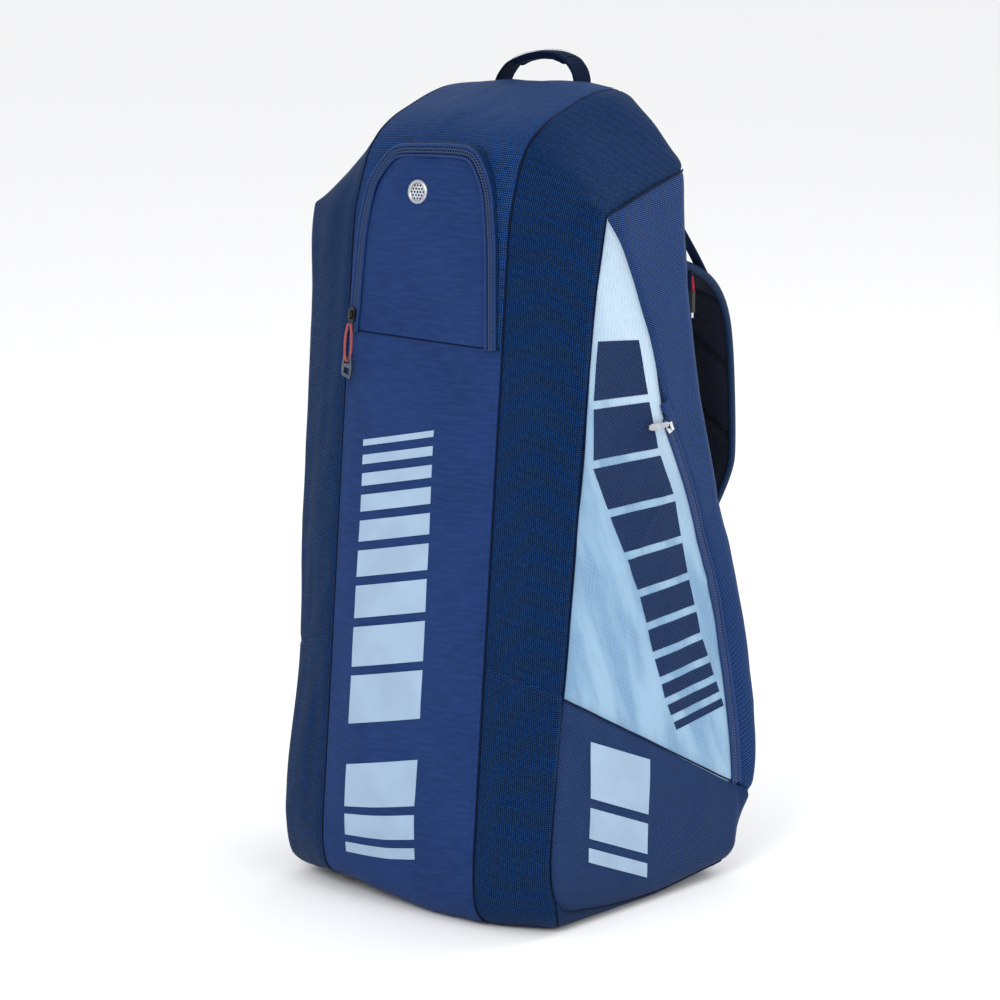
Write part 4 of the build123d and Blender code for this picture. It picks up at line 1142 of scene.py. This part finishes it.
def prints():
    """Plain geometric pattern: slanted bars of growing height on the front and beside the side zips."""
    blocks = []
    for top_z, heights in ((441.0, (6, 9, 12, 16, 20, 25, 31, 38, 46)), (132.0, (44, 24, 11))):
        blocks += bars(float(profile_key(top_z)), heights, lambda b: (-62.0, 28.0), lambda b: 20.0)
    finish_piece(decal("front_print", front_surface, blocks, M["print"]), "root")
    side_blocks = bars(553.0, (54, 47, 41, 36, 31, 26, 22, 18, 14, 11, 8),
                       lambda z: (np.interp(z, *COLUMN_FRONT), np.interp(z, *COLUMN_REAR)),
                       lambda z: float(np.interp(z, [100, 560], [12.0, -6.0])), 8.0)
    low_blocks = bars(178.0, (54, 30, 14), lambda z: (-80.0, 6.0), lambda z: -34.0, 9.0)
    for side, sign in SIDES:
        def surface(t, z, seed=side_seed(sign)):
            return side_surface(t, z, seed)

        piece = decal(f"{side}_side_print", surface, side_blocks, M["dark_print"], sign)
        finish_piece(piece, f"{side}_cover")
        piece = decal(f"{side}_low_print", surface, low_blocks, M["print"], sign)
        finish_piece(piece, f"{side}_cover", turn=COVER_TURN)


# ------------------------------------------------------------------ accessory pocket

POCKET_OUTLINE = [(-91.5, 541.0), (-84.0, 640.0), (-78.0, 690.0), (-52.0, 723.0), (52.0, 723.0),
                  (76.0, 690.0), (86.5, 640.0), (91.5, 541.0)]
POCKET_TOP_Z = 723.0
GROMMET_X, GROMMET_Z = -12.0, 678.0


def flap_y(z):
    """Depth of the flap's face: flat low down, leaning back towards its top."""
    lean = 9.0 * (np.maximum(z - 628.0, 0) / 95.0) ** 1.6
    return -123.5 + 10.5 * (z - POCKET_LOW_Z) / (POCKET_TOP_Z - POCKET_LOW_Z) + lean


def pocket_path(inset, step=3.0):
    """Rounded outline of the pocket moved in by inset, from its lower left end over the top; as (x, z)."""
    line = resample(POCKET_OUTLINE, step, 11.0)
    along = unit(np.gradient(line, axis=0))
    return line + np.stack([along[:, 1], -along[:, 0]], axis=1) * inset


def flap_out(count):
    return np.broadcast_to(unit(np.array([0.0, -1.0, 10.5 / 182.0])), (count, 3))


def on_flap(line, proud=0.0):
    """Points on the flap's plane for (x, z), standing proud of it."""
    return np.stack([line[:, 0], flap_y(line[:, 1]) - proud, line[:, 1]], axis=1)


def half_width(inset):
    """Half width of the inset outline as a function of height, and its top."""
    line = pocket_path(inset, 1.0)
    right = line[line[:, 0] >= 0]
    top = right[:, 1].max()
    keep = np.concatenate([[True], np.diff(right[::-1][:, 1]) > 1e-6])
    ordered = right[::-1][keep]
    return (lambda z: np.interp(z, ordered[:, 1], ordered[:, 0])), top


def flap_grid(inset, low, rows=52, cols=44):
    wide, top = half_width(inset)
    z = low + (top - low) * (1 - (1 - np.linspace(0, 1, rows)) ** 1.6)
    x = wide(z)[:, None] * np.linspace(-1, 1, cols)[None]
    return x, np.repeat(z[:, None], cols, axis=1)


def pocket_flap():
    """Front of the pocket: padded, gathered under its top and dished round the vent."""
    x, z = flap_grid(11.5, POCKET_LOW_Z + 1.0)

    def relief(u, v):
        puff = 2.6 * (1 - (x / 92.0) ** 2) * np.clip((z - 541) / 40, 0, 1)
        ripple = 0.5 * folds(x, z, 86, 22, 90, 91)
        vent_gap = (x - GROMMET_X) ** 2 + (z - GROMMET_Z) ** 2
        below_top = np.exp(-np.abs(706 - z) / 22.0)
        gather = 5.0 * folds(x, z, 14, 12, 90, 93) * below_top * (1 - np.exp(-vent_gap / 26.0 ** 2))
        dimple = -2.4 * np.exp(-(vent_gap / 17.0 ** 2) ** 2)
        return puff + ripple + gather + dimple

    cloth("pocket_flap_skin", np.stack([x, flap_y(z), z], axis=-1), "smooth", "pocket_flap", "smooth_weave",
          ["pocket_flap"], 0.3, FLAP_TURN, thick=2.4, roll=(0.6, 1.2, 1.2, 1.2), relief=relief)


def pocket_wall():
    """Side wall of the pocket, from its front edge back to the middle band."""
    line = pocket_path(0.6)
    front = flap_y(line[:, 1]) + 1.0
    keys = np.array([profile_key(z) for z in line[:, 1]])
    rear = np.maximum(profile_at(keys)[:, 0] + 1.5, front + 2.5)
    along = unit(np.gradient(line, axis=0))
    share = np.linspace(0, 1, 6)[:, None]
    swell = 1.6 * np.sin(np.pi * share)
    wall = np.stack([line[:, 0] - along[:, 1] * swell, front + (rear - front) * share,
                     line[:, 1] + along[:, 0] * swell], axis=-1)
    cloth("pocket_side_wall", wall, "cells", "root", "smooth_weave", ["pocket_wall"], thick=1.6,
          roll=(0, 0.6, 0, 0))


def pocket_trim():
    """Piped edges, zip tape and coil of the pocket, and the seam along its foot."""
    for name, inset, size, proud, body, turn in (
            ("pocket_outer_welt", 1.4, (3.6, 3.2), -0.6, "root", None),
            ("pocket_inner_welt", 11.2, (3.2, 2.6), 0.4, "pocket_flap", FLAP_TURN)):
        line = pocket_path(inset)
        ribbon(name, on_flap(line, proud), flap_out(len(line)), oval(*size), "piping", body, "piping_fabric",
               turn=turn)
    line = pocket_path(6.2)
    ribbon("pocket_zip_tape", on_flap(line, -2.0), flap_out(len(line)), strip_section(11.0, 0.8),
           "dark_tape", "root", "zip_tape", ["pocket_zip"])
    for k, inset in enumerate((4.7, 7.7)):
        row = pocket_path(inset)
        teeth(f"pocket_zip_teeth_{k}", on_flap(row, -1.0), flap_out(len(row)), "root", 3.0, 2.0)
    # near-black cord in the seam at the pocket's foot: painted shade of the crease under the pocket
    seam = front_surface(np.linspace(-93, 93, 50), np.full(50, KEY_POCKET - 0.2))
    ribbon("pocket_low_seam_shade", seam + flap_out(50) * -0.5, flap_out(50), oval(1.2, 1.2, 8), "dark_tape",
           "root", "piping_fabric")
    foot = front_surface(np.linspace(-86, 86, 40), np.full(40, KEY_POCKET - 3.0))
    stitches("pocket_low_stitches", foot, flap_out(1), "root", pitch=3.0)


def pouch():
    """The pocket's own bag behind the flap: a wall and a back, both of lining."""
    line = pocket_path(13.0)
    depth = flap_y(line[:, 1]) + 4.0 + np.linspace(0, 1, 8)[:, None] * 25.0
    wall = np.stack([line[:, 0] + 0 * depth, depth, line[:, 1] + 0 * depth], axis=-1)
    x, z = flap_grid(13.5, POCKET_LOW_Z + 3.0, 30, 26)
    back = np.stack([x, flap_y(z) + 28.6 + 0.8 * folds(x, z, 20, 40, 60, 97), z], axis=-1)
    for name, grid, nodes in (("wall", wall, ["pocket_pouch"]), ("back", back, [])):
        cloth(f"pocket_pouch_{name}", grid, "lining", "root", "lining_fabric", nodes, backing=None, thick=0.9,
              roll=(0, 0, 0, 0))


def vent():
    """Round vent: a rolled metal eyelet round a plate with nineteen holes."""
    centre = np.array([GROMMET_X, flap_y(GROMMET_Z) - 0.8, GROMMET_Z])
    out = flap_out(1)[0]
    right = np.array([1.0, 0, 0])
    up = np.cross(right, out)
    angles = np.linspace(0, 2 * math.pi, 48, endpoint=False)
    circle = np.cos(angles)[:, None] * right + np.sin(angles)[:, None] * up
    ring = centre + 10.0 * circle + out * 0.7
    section = [(-2.0, -1.4), (2.0, -1.4), (2.0, -0.2), (1.4, 0.8), (0.4, 1.25), (-0.8, 1.0), (-1.7, 0.2)]
    along = unit(np.roll(ring, -1, axis=0) - np.roll(ring, 1, axis=0))
    side = unit(np.cross(along, np.broadcast_to(out, along.shape)))
    verts = np.concatenate([[p + s * a + out * b for a, b in section] for p, s in zip(ring, side)])
    faces = tube_faces(len(ring), len(section), closed=True)
    eyelet = new_object("vent_eyelet", verts, faces, [M["satin_metal"]], angle=60)
    finish_piece(eyelet, "pocket_flap", ["vent_grommet"])
    cell, hole, thick = 3.55, 1.2, 0.8
    verts, faces = [], []
    centres = [(q * cell + r * cell / 2, r * cell * math.sqrt(3) / 2)
               for q in range(-2, 3) for r in range(-2, 3) if abs(q + r) <= 2]
    for cx, cy in centres:
        start = len(verts)
        for k in range(12):
            a = math.pi * (k / 6 + 1 / 6)
            # the cell's hexagon: its corners and the middles of its sides in turn
            edge = cell / math.sqrt(3) if k % 2 == 0 else cell / 2
            for radius, drop in ((edge, 0.0), (hole, 0.0), (hole, -thick), (edge, -thick)):
                offset = right * (cx + radius * math.cos(a)) + up * (cy + radius * math.sin(a))
                verts.append(centre + offset + out * (0.5 + drop))
            i, j = start + 4 * k, start + 4 * ((k + 1) % 12)
            faces += [(i + n, j + n, j + n + 1, i + n + 1) for n in range(3)]
    plate = new_object("vent_plate", np.array(verts), faces, [M["vent"]], angle=40)
    finish_piece(plate, "pocket_flap", ["vent_mesh"])
    # near-black disc behind the plate: painted shade seen through its holes
    disc = np.concatenate([centre + 9.0 * circle - out * drop for drop in (0.7, 1.3)])
    faces = [list(range(48)), list(range(95, 47, -1))]
    faces += [[i, i + 48, (i + 1) % 48 + 48, (i + 1) % 48] for i in range(48)]
    finish_piece(new_object("vent_shade_disc", disc, faces, [M["gap"]]), "pocket_flap")


# ------------------------------------------------------------------ back, base, inside


def back_half(z):
    return np.interp(z, [0, 24, 700, 748, 760], [140.0, 147.6, 148.4, 105.5, 100.0])


def back_point(x, z, proud=0.0):
    y = side_rear(z) + 6.0 - bottom_inset(z) + proud
    return np.stack([x + 0 * y, y, z + 0 * y], axis=-1)


def back_pad(name, low, high, nodes):
    """Mesh pad with sewn channels: two upright ones and three bent cross ones."""
    half = 116.0
    x, z = np.meshgrid(np.linspace(-half, half, 56), np.linspace(low, high, 60))
    share_x, share_z = x / half, (z - (low + high) / 2) / ((high - low) / 2)
    crown = (1 - share_x ** 6) * (1 - share_z ** 8)
    channels = sum(np.exp(-((x - c) / 4.5) ** 2) for c in (-40.0, 40.0))
    heights = [low + (high - low) * k / 4 for k in (1, 2, 3)]
    cross = sum(np.exp(-((z - h - 0.25 * np.abs(x)) / 4.5) ** 2) for h in heights)
    proud = 0.6 + 7.0 * np.clip(crown, 0, 1) ** 0.5 * (1 - 0.62 * np.clip(channels + cross, 0, 1))
    cloth(name, back_point(x, z, proud), "mesh", "root", "back_mesh", nodes, 0.7, backing=None, thick=2.0,
          flip=True)


def back_panels():
    """Back shell with its two pads, the yoke that holds the straps, and the piping round the back."""
    z = np.linspace(1.0, 752.0, 170)
    x = back_half(z)[:, None] * np.linspace(-1, 1, 64)[None]
    cloth("back_shell", back_point(x, np.repeat(z[:, None], 64, axis=1)), "twill", "root", "back_mesh",
          ["back_panel_lower"], 0.5, roll=(0, 1, 1, 1), flip=True,
          relief=lambda u, v: 1.0 * folds(u, v, 8, 50, 160, 101))
    back_pad("lumbar_pad", 62.0, 292.0, [])
    back_pad("upper_back_pad", 316.0, 590.0, ["back_panel_upper"])
    x, z = np.meshgrid(np.linspace(-118, 118, 40), np.linspace(602, 714, 24))
    cloth("strap_yoke_patch", back_point(x, z, 1.6), "yoke", "root", "webbing", ["strap_yoke"], backing=None,
          thick=1.8, flip=True)
    for k, z0 in enumerate((606.0, 658.0, 710.0)):
        line = back_point(np.linspace(-114, 114, 30), np.full(30, z0), 2.2)
        stitches(f"yoke_stitches_{k}", line, (0, 1.0, 0), "root")
    z = np.linspace(1.5, 748.0, 260)
    for side, sign in SIDES:
        ribbon(f"{side}_back_piping", back_point(sign * (back_half(z) + 0.4), z, 0.6),
               unit(np.array([sign * 0.5, 1.0, 0])), oval(5.0, 4.4), "piping", "root", "piping_fabric")


def outline(inset, z):
    """Closed plan outline of the bag at height z, moved in by inset."""
    front, corner, rear, back = -150.0 + inset, -128.0 + inset, 149.0 - inset, 155.0 - inset
    wide, back_wide = 168.0 - inset, 146.0 - inset * 0.6
    half = [(0, front), (97.0, front), (wide, corner), (wide, rear), (back_wide, back), (0, back)]
    line = resample(half + [(-x, y) for x, y in half[::-1]], 4.0, 9.0)
    count = 160
    keep = line[np.linspace(0, len(line) - 1, count, endpoint=False).astype(int)]
    return np.concatenate([keep, np.full((count, 1), float(z))], axis=1)


def bare_material(node, material):
    """Gives a CAD piece that stays a material of its own."""
    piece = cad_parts[node]
    piece.data.materials.clear()
    piece.data.materials.append(M[material])
    return piece


def base():
    """Bottom of the bag: an outer skin of coated cloth with raised rails, and an inner tray wall."""
    levels = ((20, 2.6), (21, 0.6), (26, 0.0), (60, 0.0), (62, 1.2), (100, 1.2))
    outer = [outline(inset, z) for inset, z in levels]
    outer.append(outer[-1] * np.array([0.05, 0.05, 1.0]))
    inner = [outline(inset, z) for inset, z in ((21, 5.0), (23, 24.0), (25.5, 24.0), (24, 6.0), (40, 4.0))]
    inner.append(outer[-1] + np.array([0, 0, 2.8]))
    verts = np.concatenate(outer[::-1] + inner)
    faces = [face[::-1] for face in tube_faces(len(outer) + len(inner), len(outer[0]))]
    skin = new_object("base_skin", verts, faces, [M["bottom"]], uvs=verts[:, :2])
    finish_piece(skin, "root", ["base_tray"])
    bare_material("base_board", "board")


def divider():
    """Padded wall between the racket compartments, bound along its edge."""
    z = np.linspace(12.0, 735.0, 90)
    front = np.interp(z, [12, 40, 533, 534, 700, 735], [-120, -152, -110, -80, -72, -40])
    rear = np.interp(z, [12, 86, 316, 460, 580, 697, 735], [120, 150, 128, 80, 50, 40, 38])
    share = np.linspace(0, 1, 40)[None, :]
    y = front[:, None] * (1 - share) + rear[:, None] * share
    zz = np.repeat(z[:, None], 40, axis=1)
    x = 1.9 + 0.7 * folds(y, zz, 20, 60, 140, 111) * np.sin(np.pi * share)
    cloth("divider_pad", np.stack([x, y, zz], axis=-1), "lining", "root", "lining_fabric",
          ["centre_divider"], 0.3, backing=None, thick=3.8)
    edge = np.stack([0 * z, front + 1.5, z], axis=1)
    ribbon("divider_binding", edge, (0, -1, 0), oval(6, 5), "binding", "root", "lining_fabric")


# ------------------------------------------------------------------ handle and straps

HANDLE_Y = 50.0
HANDLE_ARCH = [(-52.0, 763.0), (-47.0, 775.0), (-36.0, 786.5), (-20.0, 793.0), (0.0, 796.0), (20.0, 795.5),
               (37.0, 790.0), (47.0, 779.0), (50.0, 763.0)]
GRIP_SECTION = [(-9.6, -1.0), (-9.0, -4.6), (-4.0, -5.6), (-0.6, -4.9), (0.0, -3.8), (0.6, -4.9), (4.0, -5.6),
                (9.0, -4.6), (9.6, -1.0), (9.2, 1.6), (5.0, 2.3), (0, 2.5), (-5.0, 2.3), (-9.2, 1.6)]


def handle():
    """Webbing arch that stands in the seam behind the top, with a folded and stitched grip."""
    line = resample(HANDLE_ARCH, 2.5, 4.0)
    path = np.stack([line[:, 0], HANDLE_Y + 0 * line[:, 0], line[:, 1]], axis=1)
    along = unit(np.gradient(path, axis=0))
    ups = np.stack([-along[:, 2], 0 * along[:, 1], along[:, 0]], axis=1)
    keys = lengths(path)
    end = np.minimum(keys, keys[-1] - keys)
    wide = np.interp(end, [0, 8, 30, 48], [0.86, 1.0, 1.0, 0.72])
    ribbon("handle_strap", path, ups, strip_section(25.0, 2.6), "grip", "handle", "webbing",
           ["handle_webbing"], turn=HANDLE_TURN, wide=wide)
    path, ups = path[end > 34], ups[end > 34]
    t = np.linspace(0, 1, len(path))
    wrinkle = 1 + 0.05 * noise(t * 26, 0 * t, 121) + 0.04 * noise(t * 50, 0 * t + 3, 122)
    ribbon("handle_sleeve", path - ups * 0.4, ups, GRIP_SECTION, "grip", "handle", "webbing",
           ["handle_grip"], 0.6, wide=wrinkle, angle=60)
    for k, side in enumerate((-1.0, 1.0)):
        edge = path + np.array([0, side * 7.4, 0]) + ups * 2.3
        stitches(f"handle_stitches_{k}", edge, ups[len(ups) // 2], "handle", 3.2)
    x, y = np.meshgrid(np.linspace(54.5, 84.0, 14), np.linspace(31.0, 47.0, 9))
    z = 768.6 + 0.5 * np.sin(x * 0.3)
    for side, sign in SIDES:
        nodes = ["handle_anchors"] if side == "right" else []
        cloth(f"{side}_handle_patch", np.stack([sign * x, y, z], axis=-1), "webbing", "root", "webbing",
              nodes, backing=None, thick=1.4, depth=0.8, flip=sign < 0)


STRAP_ROUTE = [(56.0, 612.0), (72.0, 608.0), (100.0, 601.0), (132.0, 590.0), (158.0, 572.0), (174.0, 543.0),
               (180.0, 500.0), (184.0, 440.0), (185.0, 388.0), (165.0, 341.0)]
STRAP_X = 98.0
LIFTER_ROUTE = [(136.0, 56.0, 676.0), (132.0, 84.0, 646.0), (127.0, 122.0, 606.0), (121.0, 150.0, 577.0),
                (119.0, 156.0, 568.0)]
TAB_ROUTE = [(128.0, 114.0, 586.0), (129.0, 115.0, 578.0), (129.0, 115.5, 566.0)]
BUCKLE_ROUTE = [(126.0, 113.0, 594.0), (126.5, 112.0, 580.0), (127.0, 113.0, 560.0), (127.0, 116.0, 546.0)]


def upright(line):
    """A line of (depth, height) at the straps' distance from the middle."""
    return np.stack([STRAP_X + 0 * line[:, 0], line[:, 0], line[:, 1]], axis=1)


def strap_pad(side, sign):
    """Padded strap, mesh on the wearer's side, quilted across in three lines and bound round its edge."""
    path = upright(resample(STRAP_ROUTE, 4.0, 16.0))
    along = unit(np.gradient(path, axis=0))
    ups = np.stack([0 * along[:, 0], -along[:, 2], along[:, 1]], axis=1)
    keys = lengths(path)
    total = keys[-1]
    wide = np.interp(keys, [0, 20, 60, total - 60, total - 14, total], [0.80, 0.94, 1.0, 0.96, 0.62, 0.50])
    thick = np.interp(keys, [0, 14, 40, total - 30, total], [0.35, 0.8, 1.0, 0.95, 0.5])
    angles = np.linspace(0, 2 * math.pi, 40, endpoint=False)
    across = np.sign(np.cos(angles)) * np.abs(np.cos(angles)) ** 0.55 * 30.0
    high = np.sign(np.sin(angles)) * np.abs(np.sin(angles)) ** 0.75 * 5.4
    slope = keys[:, None] + across * 0.75
    quilt = sum(np.exp(-((slope - total * share) / 4.2) ** 2) for share in (0.30, 0.50, 0.70))
    soft = 1 + 0.05 * folds(across + 0 * slope, keys[:, None] + 0 * slope, 0, 18, 34, 131)
    rise = high * thick[:, None] * soft * (1 - 0.8 * quilt * (high > 0))
    _, side_dir, up_dir = frames_along(path, -ups)
    verts = path[:, None] + side_dir[:, None] * (across * wide[:, None])[..., None] \
        + up_dir[:, None] * rise[..., None]
    count = len(angles)
    faces = tube_faces(len(path), count)
    if sign < 0:
        faces = [face[::-1] for face in faces]
    mesh_side = [1 if high[q] + high[(q + 1) % count] > 0 else 0 for q in range(count)]
    slots = mesh_side * (len(path) - 1) + [0, 0]
    uv = np.stack([np.tile(across, len(path)), np.repeat(keys, count)], axis=1)
    pad = new_object(f"{side}_strap_pad", mirrored(verts.reshape(-1, 3), sign), faces,
                     [M["twill"], M["strap_mesh"]], slots, uv)
    body = f"{side}_strap"
    nodes = [f"{side}_strap_pad_upper", f"{side}_strap_pad_lower"]
    finish_piece(pad, body, nodes, STRAP_TURN)
    edge = side_dir * (30.2 * wide)[:, None]
    loop = resample(np.concatenate([(path + edge)[2:], (path - edge)[2:][::-1]]), 4.0, 5.0)
    outward = unit(loop - upright(loop[:, 1:]) + 1e-6)
    ribbon(f"{side}_strap_binding", mirrored(loop, sign), mirrored(outward, sign), oval(8.6, 5.0, 14),
           "binding", body, "strap_fabric", turn=STRAP_TURN)


def strap_webbing(side, sign):
    """Load lifter, red tab, slide buckle with its short webbing, and the webbing below the ladder lock."""
    body = f"{side}_strap"
    ribbon(f"{side}_load_lifter_web", mirrored(resample(LIFTER_ROUTE, 4.0, 5.0), sign), (0, 0.8, 0.6),
           strip_section(13.0, 2.4), "webbing", body, "webbing", [f"{side}_load_lifter"])
    ribbon(f"{side}_red_tab", mirrored(resample(TAB_ROUTE, 2.0, 2.0), sign), (0.7 * sign, -0.7, 0),
           strip_section(7.0, 1.4), "label", body, "red_cord")
    ups = (0.5 * sign, -0.85, 0)
    ribbon(f"{side}_buckle_web", mirrored(resample(BUCKLE_ROUTE, 3.0, 3.0), sign), ups,
           strip_section(10.0, 1.6), "webbing", body, "webbing")
    for label, low, high, size, material, slot in (
            ("frame", 552.0, 573.0, (15.0, 5.0), "plastic", "buckle_plastic"),
            ("bar", 547.0, 552.5, (12.0, 3.4), "chrome", "chrome_slider")):
        path = np.stack([np.full(5, 127.0), np.full(5, 112.6), np.linspace(high, low, 5)], axis=1)
        ribbon(f"{side}_buckle_{label}", mirrored(path, sign), ups, strip_section(*size), material, body,
               slot)
    y, z = STRAP_ROUTE[-1]
    off_back = [(float(side_rear(near)) + gap, height) for near, gap, height in
                ((22, -1.0, 21.0), (30, 8.0, 31.0), (52, 15.0, 52.0), (150, 16.0, 150.0))]
    lower = resample(off_back + [(y - 1.0, z - 62.0), (y - 6.5, z - 40.0), (y - 6.5, z - 14.0)], 4.0, 8.0)
    ribbon(f"{side}_lower_web", mirrored(upright(lower), sign), (0, 1, 0.15), strip_section(24.0, 1.9),
           "webbing", body, "webbing", ["lower_webbing"] if side == "right" else [], turn=WEB_TURN)


# ------------------------------------------------------------------ hardware


def bevelled(node, material, width_mm):
    """Keeps a CAD piece, with rounded edges and its own material."""
    bevel = bare_material(node, material).modifiers.new("edges", "BEVEL")
    bevel.width = width_mm * MM
    bevel.segments = 2
    bevel.limit_method = "ANGLE"
    bevel.angle_limit = math.radians(35)


def hardware():
    bevelled("pocket_slider", "black_metal", 0.6)
    bevelled("pull_tab", "gunmetal", 0.35)
    for side, _ in SIDES:
        bevelled(f"{side}_side_slider", "chrome", 0.6)
        bevelled(f"{side}_side_pull", "satin_metal", 0.45)
        bevelled(f"{side}_main_slider", "black_metal", 0.6)
        bevelled(f"{side}_main_pull", "rubber", 0.7)
        bevelled(f"{side}_ladder_lock", "plastic", 1.0)
    bare_material("back_frame_sheet", "board")


def pull_cord():
    """Red cord: a loop from the slider through the tab's eye and back."""
    x, y, z = -85.738, -125.635, 554.0

    def at(dx, drop, out=0.0):
        return ((x + dx) * MM, (y - 2.2 - 0.09 * drop - out) * MM, (z - 6.0 - drop) * MM)

    route = [at(-1.5, 0.0), at(-3.0, 10.0, 1.5), at(-2.0, 24.0, 2.6), at(-0.6, 35.0, 2.6),
             at(0.6, 35.0, -2.6), at(2.2, 22.0, -2.0), at(3.0, 9.0, -0.5), at(1.5, 0.0)]
    curve = bpy.data.curves.new("pull_cord_line", "CURVE")
    curve.dimensions = "3D"
    spline = curve.splines.new("NURBS")
    spline.points.add(len(route) - 1)
    for point, place in zip(spline.points, route):
        point.co = (*place, 1.0)
    spline.order_u = 3
    spline.use_endpoint_u = True
    curve.bevel_depth = 1.2 * MM
    curve.bevel_resolution = 4
    curve.resolution_u = 12
    curve.use_fill_caps = True
    curve.materials.append(M["cord"])
    cord = bpy.data.objects.new("red_pull_cord", curve)
    bpy.context.scene.collection.objects.link(cord)
    finish_piece(cord, "pocket_pull", ["pull_cord"])


# ------------------------------------------------------------------ studio


def area_light(name, place, target, size, power):
    light = bpy.data.lights.new(name, "AREA")
    light.shape = "RECTANGLE"
    light.size, light.size_y = size
    light.energy = power
    lamp = bpy.data.objects.new(name, light)
    bpy.context.scene.collection.objects.link(lamp)
    lamp.location = place
    lamp.rotation_mode = "QUATERNION"
    lamp.rotation_quaternion = (Vector(target) - Vector(place)).to_track_quat("-Z", "Y")


def studio():
    """Pale floor, white surroundings and three soft lights."""
    world = bpy.data.worlds.new("studio")
    world.use_nodes = True
    background = world.node_tree.nodes["Background"]
    background.inputs["Color"].default_value = (1.0, 1.0, 1.0, 1.0)
    background.inputs["Strength"].default_value = 1.0
    bpy.context.scene.world = world
    mesh = bpy.data.meshes.new("studio_floor")
    mesh.from_pydata([(-9, -9, 0), (9, -9, 0), (9, 9, 0), (-9, 9, 0)], [], [(0, 1, 2, 3)])
    s = Shader("pale_floor", 0.85)
    mesh.materials.append(s.done(s.mix(s.noise(None, 3.0), (0.86, 0.865, 0.875), (0.90, 0.905, 0.91))))
    floor = bpy.data.objects.new("studio_floor", mesh)
    bpy.context.scene.collection.objects.link(floor)
    area_light("key_light", (1.3, -3.5, 2.7), (0, 0, 0.4), (1.6, 1.6), 85)
    area_light("side_light", (3.4, -0.6, 1.6), (0, 0, 0.4), (1.2, 2.0), 30)
    area_light("rim_light", (1.0, 2.6, 2.4), (0, 0, 0.6), (1.6, 1.2), 30)


AZIMUTH, ELEVATION = math.radians(41.0), math.radians(11.5)
DISTANCE = 4.0
TARGET_RIGHT, TARGET_HEIGHT = -0.0075, 0.371
LENS = 150.8


def camera():
    """Long lens, round from the front and a little above; metres, with the lens in millimetres."""
    back = Vector((math.sin(AZIMUTH) * math.cos(ELEVATION), -math.cos(AZIMUTH) * math.cos(ELEVATION),
                   math.sin(ELEVATION)))
    target = Vector((math.cos(AZIMUTH) * TARGET_RIGHT, math.sin(AZIMUTH) * TARGET_RIGHT, TARGET_HEIGHT))
    data = bpy.data.cameras.new("camera")
    data.sensor_width = 36.0
    data.lens = LENS
    data.clip_end = 50.0
    cam = bpy.data.objects.new("camera", data)
    bpy.context.scene.collection.objects.link(cam)
    cam.location = target + back * DISTANCE
    cam.rotation_mode = "QUATERNION"
    cam.rotation_quaternion = (-back).to_track_quat("-Z", "Y")
    bpy.context.scene.camera = cam


bpy.context.scene.view_settings.view_transform = "Standard"
camera()
studio()
middle_band()
spine_seams()
for side_name, side_sign in SIDES:
    for make in (front_strips, seam_cords, light_panel, lower_panel, bottom_strip, rear_panel, side_zip,
                 side_lining, strap_pad, strap_webbing):
        make(side_name, side_sign)
prints()
for make in (pocket_flap, pocket_wall, pocket_trim, pouch, vent, back_panels, base, divider, handle, hardware,
             pull_cord):
    make()
